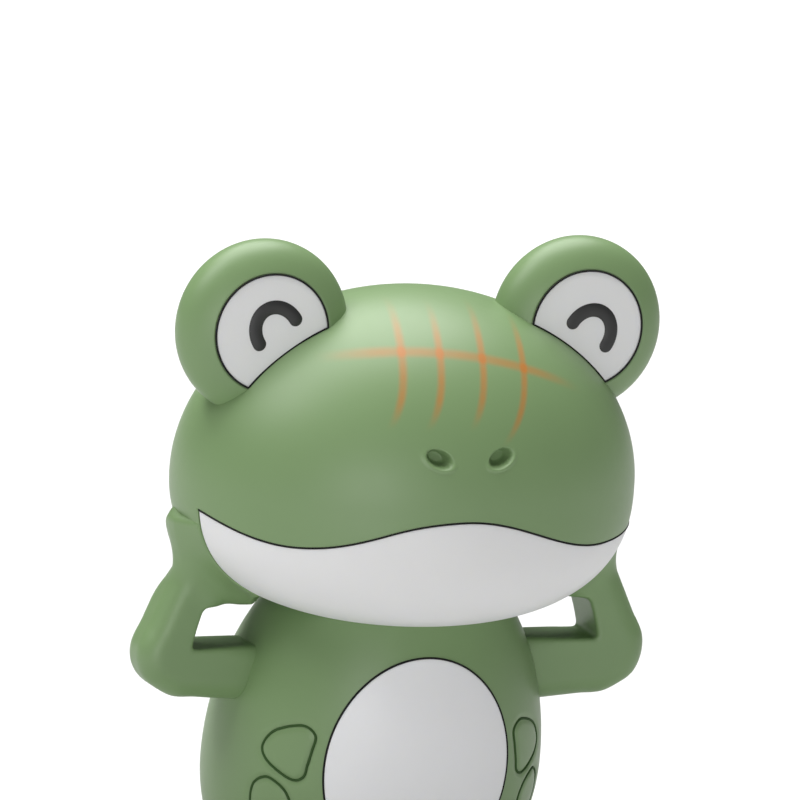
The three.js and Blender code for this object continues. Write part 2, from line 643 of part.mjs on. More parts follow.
// Hub and two rounded wings. At rest the wings lie level.
function addKey() {
  const outline = new THREE.Shape();
  const middle = (KEY.wingLow + KEY.wingHigh) / 2;
  const wingRadius = (KEY.wingHigh - KEY.wingLow) / 2;
  for (const side of [1, -1]) {
    const y = side * (KEY.reach - wingRadius);
    const start = side > 0 ? 0 : Math.PI;
    outline.absarc(middle, y, wingRadius, start, start + Math.PI, false);
  }
  outline.closePath();
  const wings = toSolid(new THREE.ExtrudeGeometry(outline, {
    depth: KEY.thickness, bevelEnabled: false, curveSegments: 14,
  }).translate(0, ARBOR.y, ARBOR.z - KEY.thickness / 2));
  const hub = barX(KEY.hubRadius, [KEY.hubLow, KEY.hubHigh], ARBOR.y, ARBOR.z, 20);
  const bore = barX(ARBOR.radius + FIT, [0, ARBOR.right + RUN], ARBOR.y, ARBOR.z);
  addNode('winding_key', wings.add(hub).subtract(bore), WHITE);
}

// A coil around the pivot pin between the base plate's lugs.
function addReturnSpring() {
  class Helix extends THREE.Curve {
    getPoint(t, target = new THREE.Vector3()) {
      const angle = t * COIL.turns * 2 * Math.PI;
      return target.set(
        COIL.halfLength * (2 * t - 1),
        PIVOT.y + COIL.radius * Math.cos(angle),
        PIVOT.z + COIL.radius * Math.sin(angle),
      );
    }
  }
  const wire = new THREE.Shape().absarc(0, 0, COIL.wire, 0, 2 * Math.PI, false);
  const geometry = new THREE.ExtrudeGeometry(wire, {
    steps: COIL.turns * 8, extrudePath: new Helix(), curveSegments: 3,
  });
  addNode('leg_return_spring', toSolid(geometry), SPRING_STEEL);
}

// ---------------------------------------------------------------- assembly

addHead();
addBody();
addNeck();
addBase();
addYoke();
addMotorPlate(-1, 'right');
addMotorPlate(1, 'left');
addPillars();
addMainspring();
addTrain();
addCam();
addKey();
addReturnSpring();
for (const [side, label] of [[1, 'left'], [-1, 'right']]) {
  addEye(side, label);
  addArm(side, label);
  addLeg(side, label);
  addHaunch(side, label);
}

export default frog;
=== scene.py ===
"""Wind-up jumping frog: smooth mouldings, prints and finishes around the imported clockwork.

Lengths in this file are millimetres in the CAD frame (+Z up, the frog faces -Y, its left
side is +X) and are turned into metres when a mesh is made. A side is +1 for the frog's
left and -1 for its right.
"""

import json
import math
from functools import partial, reduce

import bmesh
import bpy
import numpy as np
from mathutils import Matrix, Vector


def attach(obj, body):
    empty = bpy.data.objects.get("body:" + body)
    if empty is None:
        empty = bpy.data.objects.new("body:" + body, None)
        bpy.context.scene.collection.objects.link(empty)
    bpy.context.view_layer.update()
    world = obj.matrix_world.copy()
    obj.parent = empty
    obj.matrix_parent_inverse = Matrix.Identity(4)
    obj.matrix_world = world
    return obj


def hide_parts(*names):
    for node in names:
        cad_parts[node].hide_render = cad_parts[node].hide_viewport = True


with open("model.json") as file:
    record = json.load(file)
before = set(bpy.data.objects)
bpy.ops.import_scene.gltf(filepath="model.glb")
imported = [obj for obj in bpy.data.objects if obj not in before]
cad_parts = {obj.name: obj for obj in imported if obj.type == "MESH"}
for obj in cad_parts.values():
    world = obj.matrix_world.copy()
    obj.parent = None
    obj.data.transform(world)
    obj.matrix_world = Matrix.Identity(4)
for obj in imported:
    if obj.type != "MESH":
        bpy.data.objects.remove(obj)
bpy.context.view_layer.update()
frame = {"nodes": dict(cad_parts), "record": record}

MM = 0.001
SHARP_EDGE = math.radians(40)

# ---- shape numbers

# The head: its middle, its half sizes, how square the chin is and how far it juts out.
HEAD_Y, HEAD_Z = -0.68, 68.7
HEAD_WIDTH, HEAD_DEPTH = 30.4, 23.3
CROWN, CHIN = 24.5, 17.2
CHIN_POWER, CHIN_FORWARD = 2.4, 5.7
HEAD_BACK_SEAM = 8.4

# The mouth: its lowest height and where that is, the rise in the middle, the curl of each
# corner, and the lift of the whole right half.
MOUTH_LOW, MOUTH_RISE, MOUTH_LOW_AT = 63.0, 4.45, 21.0
MOUTH_CORNERS, MOUTH_LIFT = {1: 0.012, -1: 0.037}, 0.45
JAW_SEAM = -6.2
LIP_GAP, BACK_GAP, PLUG_GAP = 0.14, 0.1, 0.5

# The body: its middle, half sizes, lean, open floor and back seam, and the belly plate.
BODY_Y, BODY_Z = 5.1, 31.0
BODY_WIDTH, BODY_DEPTH = 22.2, 18.7
SHOULDER, SEAT = 30.7, 24.0
BODY_LEAN, BODY_FLOOR, BODY_BACK_SEAM = 0.116, 11.0, 13.0
BELLY_Z, BELLY_WIDTH, BELLY_HEIGHT, BELLY_PROUD = 33.0, 12.4, 14.6, 0.12

# The eyes: the middle of the left one, the round housing and the white disc in it.
EYE_X, EYE_Y, EYE_Z = 21.3, -3.5, 88.7
EYE_RADIUS, EYE_DEPTH, EYE_ROUND = 11.3, 5.2, 2.2
WHITE_RADIUS, WHITE_FRONT, WHITE_CROWN, WHITE_BACK = 7.4, 4.0, 0.16, 1.2
RECESS_GAP, RECESS_LIP = 0.12, 0.25

WALL = 2.2
INK_RADIUS = 0.12
TINY = 1e-9


# ---- mesh helpers


def link_object(name, data):
    item = bpy.data.objects.new(name, data)
    bpy.context.scene.collection.objects.link(item)
    return item


def shade_smooth(mesh):
    mesh.polygons.foreach_set("use_smooth", [True] * len(mesh.polygons))
    mesh.update()


def turned(x, y, angle):
    """The point (x, y) turned anticlockwise."""
    cos, sin = math.cos(angle), math.sin(angle)
    return x * cos - y * sin, x * sin + y * cos


def smooth_step(value):
    share = np.clip(value, 0, 1)
    return share**2 * (3 - 2 * share)


def full_turn(count):
    """Angles evenly round a circle."""
    return np.linspace(0, 2 * math.pi, count, endpoint=False)


def mesh_piece(name, points, faces, weld=True):
    """An object from points in millimetres and faces, with its normals outwards."""
    mesh = bpy.data.meshes.new(name)
    mesh.from_pydata((np.asarray(points) * MM).tolist(), [], faces)
    shape = bmesh.new()
    shape.from_mesh(mesh)
    if weld:
        bmesh.ops.remove_doubles(shape, verts=shape.verts, dist=2e-3 * MM)
        bmesh.ops.dissolve_degenerate(shape, edges=shape.edges, dist=1e-4 * MM)
    bmesh.ops.recalc_face_normals(shape, faces=shape.faces)
    shape.to_mesh(mesh)
    shape.free()
    shade_smooth(mesh)
    return link_object(name, mesh)


def grid_faces(rows, columns, first=0, closed=False):
    """Quads between neighbouring points of a rows by columns grid."""
    spans = columns if closed else columns - 1
    faces = []
    for row in range(rows - 1):
        for column in range(spans):
            beside = (column + 1) % columns
            a, b = first + row * columns, first + (row + 1) * columns
            faces.append((a + column, a + beside, b + beside, b + column))
    return faces


def apply_modifiers(piece):
    """Bakes the modifiers into the mesh."""
    view = bpy.context.evaluated_depsgraph_get()
    mesh = bpy.data.meshes.new_from_object(piece.evaluated_get(view))
    old = piece.data
    piece.modifiers.clear()
    piece.data = mesh
    bpy.data.meshes.remove(old)
    return piece


def thicken(piece, wall=WALL, edge=0.22):
    """Turns an open surface into a moulded wall that grows inwards, with rounded rims."""
    solid = piece.modifiers.new("wall", "SOLIDIFY")
    solid.thickness = wall * MM
    solid.offset = -1
    solid.use_even_offset = False
    solid.use_rim = True
    apply_modifiers(piece)
    bevel = piece.modifiers.new("bevel", "BEVEL")
    bevel.width = edge * MM
    bevel.segments = 2
    bevel.limit_method = "ANGLE"
    bevel.angle_limit = SHARP_EDGE
    bevel.use_clamp_overlap = True
    bevel.miter_outer = "MITER_ARC"
    weighted = piece.modifiers.new("weighted", "WEIGHTED_NORMAL")
    weighted.keep_sharp = False
    return apply_modifiers(piece)


def split_at_y(piece, rear_name, at_y):
    """Cuts an open surface along a plane facing Y; returns its front and its rear."""
    whole, front_name = piece.data, piece.name
    bpy.data.objects.remove(piece)
    parts = []
    for name, side in ((front_name, -1), (rear_name, 1)):
        shape = bmesh.new()
        shape.from_mesh(whole)
        bmesh.ops.bisect_plane(
            shape,
            geom=shape.verts[:] + shape.edges[:] + shape.faces[:],
            plane_co=(0, (at_y + side * BACK_GAP / 2) * MM, 0),
            plane_no=(0, 1, 0),
            clear_outer=side < 0,
            clear_inner=side > 0,
        )
        mesh = bpy.data.meshes.new(name)
        shape.to_mesh(mesh)
        shape.free()
        shade_smooth(mesh)
        parts.append(link_object(name, mesh))
    bpy.data.meshes.remove(whole)
    return parts


def cut_away(piece, cutter):
    """Subtracts a closed cutter, which is then removed."""
    cut = piece.modifiers.new("cut", "BOOLEAN")
    cut.operation = "DIFFERENCE"
    cut.solver = "EXACT"
    cut.object = cutter
    bpy.context.view_layer.update()
    apply_modifiers(piece)
    mesh = cutter.data
    bpy.data.objects.remove(cutter)
    bpy.data.meshes.remove(mesh)
    shade_smooth(piece.data)


def revolve_y(name, profile, centre, segments=144):
    """Turns a profile of (radius, y) points about a line along Y through the centre."""
    angles = full_turn(segments)
    radius, along = np.array(profile).T
    points = np.zeros((len(profile), segments, 3))
    points[..., 0] = centre[0] + radius[:, None] * np.cos(angles)
    points[..., 1] = centre[1] + along[:, None]
    points[..., 2] = centre[2] + radius[:, None] * np.sin(angles)
    faces = grid_faces(len(profile), segments, closed=True)
    return mesh_piece(name, points.reshape(-1, 3), faces)


def tube(name, line, radius, closed=True, sides=10):
    """A thin round strip along a polyline; an open one has a blunt point at each end."""
    line = np.asarray(line, float)
    if closed:
        ahead = np.roll(line, -1, 0) - np.roll(line, 1, 0)
    else:
        ahead = np.gradient(line, axis=0)
    ahead /= np.linalg.norm(ahead, axis=1)[:, None]
    across = np.cross(ahead, [0.13, 1.0, 0.07])
    across /= np.linalg.norm(across, axis=1)[:, None]
    up = np.cross(across, ahead)
    turn = full_turn(sides)
    ring = across[:, None] * np.cos(turn)[:, None] + up[:, None] * np.sin(turn)[:, None]
    points = (line[:, None] + radius * ring).reshape(-1, 3)
    faces = grid_faces(len(line), sides, closed=True)
    last = (len(line) - 1) * sides
    pairs = [(side, (side + 1) % sides) for side in range(sides)]
    if closed:
        faces += [(last + a, last + b, b, a) for a, b in pairs]
    else:
        tips = [line[0] - 0.6 * radius * ahead[0], line[-1] + 0.6 * radius * ahead[-1]]
        tip, points = len(points), np.vstack([points, tips])
        for a, b in pairs:
            faces += [(a, b, tip), (last + a, last + b, tip + 1)]
    return mesh_piece(name, points, faces, weld=False)


# ---- sculpted solids


def dot_length(vectors):
    return np.sqrt((vectors**2).sum(-1))


def ball(p, centre, radii):
    """Distance-like field of an ellipsoid."""
    radii = np.broadcast_to(np.asarray(radii, float), (3,))
    away = p - np.asarray(centre, float)
    near = dot_length(away / radii)
    steep = dot_length(away / radii**2)
    return near * (near - 1) / np.maximum(steep, TINY)


def taper(p, start, end, radius_start, radius_end):
    """Distance-like field of a limb between two balls."""
    start, end = np.asarray(start, float), np.asarray(end, float)
    line = end - start
    share = np.clip(((p - start) @ line) / (line @ line), 0, 1)
    nearest = start + share[..., None] * line
    return dot_length(p - nearest) - (radius_start + (radius_end - radius_start) * share)


def merge(a, b, soft):
    """Union with a fillet of about the given size."""
    share = np.clip(0.5 + 0.5 * (b - a) / soft, 0, 1)
    return b * (1 - share) + a * share - soft * share * (1 - share)


def keep(a, b, soft):
    """Intersection with a rounded edge."""
    return -merge(-a, -b, soft)


def slope(field, p, step=0.02):
    """Gradient of a field, by central differences."""
    parts = []
    for axis in range(3):
        shift = np.zeros(3)
        shift[axis] = step
        parts.append((field(p + shift) - field(p - shift)) / (2 * step))
    return np.stack(parts, -1)


def outwards(field, points):
    """Unit vectors that point straight out of a solid's surface."""
    rise = slope(field, points)
    return rise / dot_length(rise)[:, None]


def cell_corners(values):
    """The eight corner values of every cell of a grid."""
    low, high = slice(0, -1), slice(1, None)
    return np.stack(
        [values[i, j, k] for i in (low, high) for j in (low, high) for k in (low, high)],
        -1,
    )


def skin(name, field, low, high, step):
    """A closed quad mesh on the field's zero surface: one point per crossed cell."""
    axes = [np.arange(a, b + step, step) for a, b in zip(low, high)]
    grid = np.stack(np.meshgrid(*axes, indexing="ij"), -1)
    values = field(grid)
    inside = values < 0
    count = cell_corners(inside).sum(-1)
    crossed = (count > 0) & (count < 8)
    number = np.full(crossed.shape, -1)
    number[crossed] = np.arange(crossed.sum())
    points = np.argwhere(crossed) * step + np.asarray(low, float) + step / 2
    for _ in range(6):
        rise = slope(field, points)
        height = field(points)
        move = height[:, None] * rise / np.maximum((rise**2).sum(-1), 1e-6)[:, None]
        size = dot_length(move)[:, None]
        points = points - move * np.minimum(1, 0.6 * step / np.maximum(size, TINY))
    faces = []
    for axis in range(3):
        other = [a for a in range(3) if a != axis]
        places = np.argwhere(np.diff(inside, axis=axis))
        places = places[(places[:, other] > 0).all(1)]
        corners = []
        for back in ((0, 0), (1, 0), (1, 1), (0, 1)):
            cell = places.copy()
            cell[:, other] -= back
            corners.append(number[tuple(cell.T)])
        faces += np.stack(corners, -1).tolist()
    return mesh_piece(name, points, faces, weld=False)


# ---- head surface


def head_height(turn):
    """Share of the crown (turn > 0) or chin (turn < 0) height at an angle of elevation."""
    sine = np.sin(turn)
    return np.where(turn >= 0, sine, -np.abs(sine) ** (2 / CHIN_POWER))


def head_reach(share):
    """How wide the head is at a share of its height, of its widest."""
    share = np.clip(share, -1, 1)
    upper = np.sqrt(np.maximum(1 - share**2, 0))
    lower = np.maximum(1 - np.abs(share) ** CHIN_POWER, 0) ** (1 / CHIN_POWER)
    return np.where(share >= 0, upper, lower)


def head_centre_y(share):
    return HEAD_Y - np.where(share < 0, CHIN_FORWARD * share**2, 0)


def head_z(share):
    return HEAD_Z + share * np.where(share >= 0, CROWN, CHIN)


def head_point(angle, share):
    """Points of the head's surface: angle around +Z from +X, and a share of its height."""
    reach = head_reach(share)
    x = HEAD_WIDTH * reach * np.cos(angle)
    y = head_centre_y(share) + HEAD_DEPTH * reach * np.sin(angle)
    return np.stack(np.broadcast_arrays(x, y, head_z(share)), -1)


def head_field(p):
    """Distance-like field of the whole head."""

    def raw(q):
        rise = q[..., 2] - HEAD_Z
        share = rise / np.where(rise >= 0, CROWN, CHIN)
        power = np.where(rise >= 0, 2.0, CHIN_POWER)
        side = q[..., 0] / HEAD_WIDTH
        front = (q[..., 1] - head_centre_y(np.clip(share, -1.3, 1))) / HEAD_DEPTH
        across = np.sqrt(side**2 + front**2)
        return (across**power + np.abs(share) ** power) ** (1 / power) - 1

    return raw(p) / np.maximum(dot_length(slope(raw, p)), 1e-4)


def mouth_height(x):
    """The lip line's height; it lies a little higher on the frog's right."""
    side = np.abs(x)
    wave = MOUTH_RISE * (1 + np.cos(math.pi * np.minimum(side, MOUTH_LOW_AT) / MOUTH_LOW_AT)) / 2
    curl = np.where(x > 0, MOUTH_CORNERS[1], MOUTH_CORNERS[-1])
    corner = curl * np.maximum(side - MOUTH_LOW_AT, 0) ** 2
    return MOUTH_LOW + wave + corner + MOUTH_LIFT * smooth_step((-x - 1) / 9)


def bisect(function, low, high, steps=48):
    """Where a function that is negative at low and positive at high crosses zero."""
    low, high = np.array(low, float), np.array(high, float)
    for _ in range(steps):
        middle = (low + high) / 2
        above = function(middle) > 0
        high = np.where(above, middle, high)
        low = np.where(above, low, middle)
    return (low + high) / 2


def seam_angle(share, seam_y):
    """The angle on the frog's left at which the head crosses the plane y = seam_y."""
    room = np.maximum(HEAD_DEPTH * head_reach(share), TINY)
    return np.arcsin(np.clip((seam_y - head_centre_y(share)) / room, -1, 1))


def mouth_share(place, shape, lift):
    """Shares of height at which the points place(share) cross the mouth line."""

    def above(share):
        point = place(share)
        return point[..., 2] - mouth_height(point[..., 0]) - lift

    return bisect(above, np.full(shape, -0.6), np.zeros(shape))


def mouth_corner(side, seam_y, lift):
    """Angle from the X axis, and share of height, where the mouth meets the jaw's seam."""

    def place(share):
        return head_point(seam_angle(share, seam_y), share) * (side, 1, 1)

    share = mouth_share(place, (), lift)
    return float(seam_angle(share, seam_y)), float(share)


def turn_of(share):
    """The angle of elevation below the middle at a negative share of the height."""
    return -np.arcsin(np.abs(share) ** (CHIN_POWER / 2))


def dense_steps(count, *spots):
    """Shares from 0 to 1 that lie closer together near each (place, width, gain)."""
    place = np.linspace(0, 1, 4001)
    density = np.ones_like(place)
    for middle, width, gain in spots:
        density += gain * np.exp(-(((place - middle) / width) ** 4))
    total = np.concatenate([[0], np.cumsum((density[1:] + density[:-1]) / 2)])
    return np.interp(np.linspace(0, 1, count), total / total[-1], place)


# Each nostril's x, z and tilt; their half sizes and depth; how soft the wall is; the lip.
NOSTRILS = ((-4.0, 75.4, -22), (4.2, 75.4, 24))
NOSTRIL_LONG, NOSTRIL_SHORT, NOSTRIL_DEPTH = 1.85, 1.15, 1.9
NOSTRIL_EDGE, NOSTRIL_WALL = 1.04, 0.6
LIP_HEIGHT, LIP_AT, LIP_WIDTH = 0.16, 1.15, 0.15


def nostril_depth(x, z):
    """How far the two nostrils sink into the head, and how raised their lips are."""
    depth = np.zeros_like(x)
    for centre_x, centre_z, tilt in NOSTRILS:
        along, across = turned(x - centre_x, z - centre_z, -math.radians(tilt))
        away = np.sqrt((along / NOSTRIL_LONG) ** 2 + (across / NOSTRIL_SHORT) ** 2)
        depth += NOSTRIL_DEPTH * smooth_step((NOSTRIL_EDGE - away) / NOSTRIL_WALL)
        lower = np.clip(0.35 - across / NOSTRIL_SHORT, 0, 1)
        depth -= LIP_HEIGHT * lower * np.exp(-(((away - LIP_AT) / LIP_WIDTH) ** 2))
    return depth


# The grid of the head, with its columns and rows drawn together at the nostrils.
FRONT_COLUMNS, REAR_COLUMNS, UPPER_ROWS, LOWER_ROWS = 300, 170, 190, 90
NOSE_COLUMNS, NOSE_ROWS, FACE_Y = (0.5, 0.075, 2.6), (0.815, 0.05, 2.2), -8
POLE = 0.002


def head_shell_surface():
    """The green outer surface: all but the jaw, as an upper and a lower rear grid."""
    seam_y, lift = JAW_SEAM + LIP_GAP, LIP_GAP
    left_angle, left_share = mouth_corner(1, seam_y, lift)
    right_angle, right_share = mouth_corner(-1, seam_y, lift)
    front_steps = dense_steps(FRONT_COLUMNS, NOSE_COLUMNS)
    front = left_angle - front_steps * (math.pi + left_angle + right_angle)
    rear_steps = np.linspace(0, 1, REAR_COLUMNS)
    rear = left_angle + (1 - rear_steps) * (math.pi - left_angle - right_angle)
    angles = np.concatenate([front, rear[1:-1]])
    belt = turn_of(mouth_share(partial(head_point, angles), angles.shape, lift))
    left_turn, right_turn = turn_of(left_share), turn_of(right_share)
    rear_turns = right_turn + (left_turn - right_turn) * rear_steps
    belt[FRONT_COLUMNS:] = rear_turns[1:-1]
    belt[0], belt[FRONT_COLUMNS - 1] = left_turn, right_turn
    steps = dense_steps(UPPER_ROWS, NOSE_ROWS)[:, None]
    turns = math.pi / 2 + (belt - math.pi / 2) * steps
    upper = head_point(angles[None], head_height(turns))
    down = np.linspace(0, 1, LOWER_ROWS)[:, None]
    shares = head_height(rear_turns + (POLE - math.pi / 2 - rear_turns) * down)
    left, right = seam_angle(shares[:, -1:], seam_y), seam_angle(shares[:, :1], seam_y)
    lower_angles = left + (1 - rear_steps) * (math.pi - left - right)
    lower = head_point(lower_angles, shares)
    lower[-1] = lower[-1].mean(0)
    points = np.vstack([upper.reshape(-1, 3), lower.reshape(-1, 3)])
    sunk = nostril_depth(points[:, 0], points[:, 2])
    points[:, 1] += np.where(points[:, 1] < FACE_Y, sunk, 0)
    faces = grid_faces(UPPER_ROWS, len(angles), closed=True)
    faces += grid_faces(LOWER_ROWS, REAR_COLUMNS, first=UPPER_ROWS * len(angles))
    return mesh_piece("head_front", points, faces)


def jaw_surface():
    """The white lower jaw, from the mouth line down to the underside."""
    seam_y, lift = JAW_SEAM - LIP_GAP, -LIP_GAP
    rows, columns = 110, np.linspace(0, 1, 220)

    def place(share):
        side = seam_angle(share, seam_y)
        angle = side - columns * (math.pi + 2 * side)
        return head_point(angle, share)

    top = turn_of(mouth_share(place, columns.shape, lift))
    down = np.linspace(0, 1, rows)[:, None]
    points = place(head_height(top + (-math.pi / 2 - top) * down))
    return mesh_piece("jaw", points.reshape(-1, 3), grid_faces(rows, len(columns)))


def mouth_line():
    """The dark line in the seam between the two lips, from corner to corner."""
    left, right = (mouth_corner(side, JAW_SEAM, 0)[0] for side in (1, -1))
    angles = left - np.linspace(0, 1, 260) * (math.pi + left + right)
    share = mouth_share(partial(head_point, angles), angles.shape, 0)
    line = head_point(angles, share)
    sunk = line - 0.02 * outwards(head_field, line)
    return tube("mouth_line", sunk, INK_RADIUS, closed=False)


def build_head():
    front, rear = split_at_y(head_shell_surface(), "head_rear", HEAD_BACK_SEAM)
    jaw = jaw_surface()
    for piece in (front, rear, jaw):
        thicken(piece)
    return front, rear, jaw, mouth_line()


def head_plug():
    """The closed head shape, a little smaller, for trimming what stands on the head."""
    rows, columns = 90, 140
    turns = np.linspace(math.pi / 2, -math.pi / 2, rows)
    angles = full_turn(columns)
    points = head_point(angles[None], head_height(turns)[:, None])
    centre = np.array([0, HEAD_Y, HEAD_Z])
    size = np.array([HEAD_WIDTH, HEAD_DEPTH, CROWN])
    points = centre + (points - centre) * (1 - PLUG_GAP / size)
    return mesh_piece("plug", points.reshape(-1, 3), grid_faces(rows, columns, closed=True))


# ---- eyes


def eye_profile():
    """Recess floor, recess wall, rounded front rim, and the back of the housing."""
    wall = WHITE_RADIUS + RECESS_GAP
    edge = wall + RECESS_LIP
    turn = np.linspace(0, math.pi, 120)
    radius = EYE_RADIUS * np.abs(np.sin(turn)) ** (2 / EYE_ROUND)
    along = -EYE_DEPTH * np.sign(np.cos(turn)) * np.abs(np.cos(turn)) ** (2 / EYE_ROUND)
    outside = (radius > edge) | (along > 0)
    front = -EYE_DEPTH * (1 - (edge / EYE_RADIUS) ** EYE_ROUND) ** (1 / EYE_ROUND)
    floor = -WHITE_FRONT + WHITE_BACK + 0.05
    lip = [(wall, front + 0.22), (wall + 0.07, front + 0.08), (edge, front)]
    start = [(0, floor), (wall - 0.2, floor), (wall, floor - 0.2)]
    rest = list(zip(radius[outside], along[outside]))
    rest[-1] = (0, rest[-1][1])
    return start + lip + rest


def white_profile():
    """A thin disc with a rounded front edge and a slight crown."""
    edge, back = WHITE_RADIUS, -WHITE_FRONT + WHITE_BACK
    face = [
        (edge * share, -WHITE_FRONT - WHITE_CROWN * (1 - share**2))
        for share in np.linspace(0, 0.97, 14)
    ]
    rounded = [(edge - 0.08, -WHITE_FRONT + 0.03), (edge, -WHITE_FRONT + 0.12)]
    return face + rounded + [(edge, back - 0.1), (edge - 0.1, back), (0, back)]


def head_top(x, y):
    """Height of the head's upper surface above (x, y)."""
    room = 1 - (x / HEAD_WIDTH) ** 2 - ((y - HEAD_Y) / HEAD_DEPTH) ** 2
    return HEAD_Z + CROWN * np.sqrt(np.maximum(room, 0))


def eye_gap_shadow_line(side):
    """The visible edge of the eye white: its rim, closed by the line along the head; a black
    strip along it is painted as the shadow in the gap there.
    """
    y = EYE_Y - WHITE_FRONT - 0.02
    turn = full_turn(720)
    x = side * EYE_X + (WHITE_RADIUS + 0.05) * np.cos(turn)
    z = EYE_Z + (WHITE_RADIUS + 0.05) * np.sin(turn)
    shown = z > head_top(x, y)
    start = int(np.argmax(shown & ~np.roll(shown, 1)))
    order = (start + np.arange(shown.sum())) % len(turn)
    rim = np.stack([x[order], np.full(len(order), y), z[order]], -1)[::6]
    across = np.linspace(rim[-1, 0], rim[0, 0], 70)[1:-1]
    low = np.stack([across, np.full(len(across), y - 0.05), head_top(across, y) + 0.06], -1)
    return np.vstack([rim, low])


# The closed-eye arcs: half width, height and half stroke; x, z and tilt of each; and, for
# each ring from the back to the front edge, how far it is set in and how deep it lies.
ARC_WIDTH, ARC_HEIGHT, ARC_STROKE = 2.8, 3.25, 0.88
ARC_STEPS, ARC_CAP_STEPS = 60, 12
ARCS = {-1: (0.62, 0.2, 33.5), 1: (0.25, -0.68, -33.0)}
ARC_RINGS = ((0.0, 0.3), (0.0, -0.02), (0.03, -0.05))


def arc_outline(half_stroke):
    """An arch with round ends: its left edge, end, right edge back to the start, start."""
    turn = np.linspace(math.pi, 0, ARC_STEPS)
    arch = np.stack([ARC_WIDTH * np.cos(turn), ARC_HEIGHT * np.sin(turn)], -1)
    ahead = np.gradient(arch, axis=0)
    ahead /= dot_length(ahead)[:, None]
    left = np.stack([-ahead[:, 1], ahead[:, 0]], -1)
    cap = np.linspace(0, math.pi, ARC_CAP_STEPS + 2)[1:-1, None]
    end = arch[-1] + half_stroke * (np.cos(cap) * left[-1] + np.sin(cap) * ahead[-1])
    start = arch[0] - half_stroke * (np.cos(cap) * left[0] + np.sin(cap) * ahead[0])
    return np.vstack([arch + half_stroke * left, end, (arch - half_stroke * left)[::-1], start])


def arc_faces(count):
    """The sides, the front as a strip of quads between two round ends, and the back."""
    faces = grid_faces(len(ARC_RINGS), count, closed=True)
    front = (len(ARC_RINGS) - 1) * count
    beside_start = 2 * ARC_STEPS + ARC_CAP_STEPS - 1
    parts = [
        (i, i + 1, beside_start - i - 1, beside_start - i) for i in range(ARC_STEPS - 1)
    ]
    parts.append(range(ARC_STEPS - 1, ARC_STEPS + ARC_CAP_STEPS + 1))
    parts.append([*range(beside_start, count), 0])
    faces += [tuple(front + place for place in part) for part in parts]
    faces.append(tuple(range(count)))
    return faces


def smile_arc(side):
    """A closed eye: a printed arch with round ends, a hair proud of the eye white."""
    shift_x, shift_z, tilt = ARCS[side]
    rings = []
    for inset, depth in ARC_RINGS:
        x, z = turned(*arc_outline(ARC_STROKE - inset).T, math.radians(tilt))
        x, z = x + shift_x, z + shift_z
        crown = WHITE_CROWN * (1 - (x**2 + z**2) / WHITE_RADIUS**2)
        y = EYE_Y - WHITE_FRONT - crown + depth
        rings.append(np.stack([side * EYE_X + x, y, EYE_Z + z], -1))
    faces = arc_faces(len(rings[0]))
    return mesh_piece(f"closed_eye_{side_name(side)}", np.vstack(rings), faces, weld=False)


def side_name(side):
    return "left" if side > 0 else "right"


def build_eye(side):
    name = side_name(side)
    centre = (side * EYE_X, EYE_Y, EYE_Z)
    housing = revolve_y(f"eye_rim_{name}", eye_profile(), centre)
    white = revolve_y(f"eye_white_{name}_disc", white_profile(), centre)
    for piece in (housing, white):
        cut_away(piece, head_plug())
    # painted shadow: a black strip filling the gap round the eye white and where it meets the
    # head
    outline = tube(f"eye_gap_shadow_{name}", eye_gap_shadow_line(side), INK_RADIUS)
    return housing, white, outline, smile_arc(side)


# ---- body


def body_point(angle, turn):
    share = np.sin(turn)
    rise = np.where(share >= 0, SHOULDER, SEAT) * share
    reach = np.cos(turn)
    x = BODY_WIDTH * reach * np.cos(angle)
    y = BODY_Y - BODY_LEAN * rise + BODY_DEPTH * reach * np.sin(angle)
    return np.stack(np.broadcast_arrays(x, y, BODY_Z + rise), -1)


def body_front_y(x, z):
    """Where the body's front surface lies at (x, z)."""
    rise = z - BODY_Z
    share = rise / np.where(rise >= 0, SHOULDER, SEAT)
    room = np.maximum(1 - (x / BODY_WIDTH) ** 2 - share**2, 0)
    return BODY_Y - BODY_LEAN * rise - BODY_DEPTH * np.sqrt(room)


def body_field(p):
    rise = p[..., 2] - BODY_Z
    away = np.stack([p[..., 0], p[..., 1] - BODY_Y + BODY_LEAN * rise, rise], -1)
    upper = ball(away, (0, 0, 0), (BODY_WIDTH, BODY_DEPTH, SHOULDER))
    lower = ball(away, (0, 0, 0), (BODY_WIDTH, BODY_DEPTH, SEAT))
    return np.where(rise >= 0, upper, lower)


# Outlines of the skin spots in (x, z) on the frog's right; the left side mirrors them.
SPOTS = (
    (
        (-15.0, 38.5), (-13.6, 37.4), (-13.9, 35.4), (-14.3, 33.4), (-14.6, 31.9),
        (-15.6, 31.3), (-17.1, 32.1), (-18.5, 33.6), (-18.8, 35.4), (-17.6, 37.5),
    ),
    (
        (-18.4, 31.2), (-17.2, 30.6), (-16.2, 29.4), (-15.6, 27.6), (-15.9, 25.6),
        (-17.2, 24.6), (-18.6, 25.4), (-19.4, 27.4), (-19.4, 30.0),
    ),
)
# The grooves' depth and width, the radius of the dark strip painted as shadow in each, and how
# far the painted shade beside them reaches.
GROOVE_DEPTH, GROOVE_WIDTH, GROOVE_SHADOW_LINE, GROOVE_SHADE_REACH = 0.22, 0.45, 0.17, 0.3

# The grid of the body, with its columns and rows drawn together at the spots.
BODY_COLUMNS, BODY_ROWS = 360, 250
SPOT_COLUMNS, SPOT_ROWS = ((0.636, 0.036, 3.2), (0.864, 0.036, 3.2)), (0.47, 0.15, 2.6)


# Weights of a Catmull-Rom curve: rows are powers of t, columns the four corners in reach.
CATMULL_ROM = 0.5 * np.array([[0, 2, 0, 0], [-1, 0, 1, 0], [2, -5, 4, -1], [-1, 3, -3, 1]])


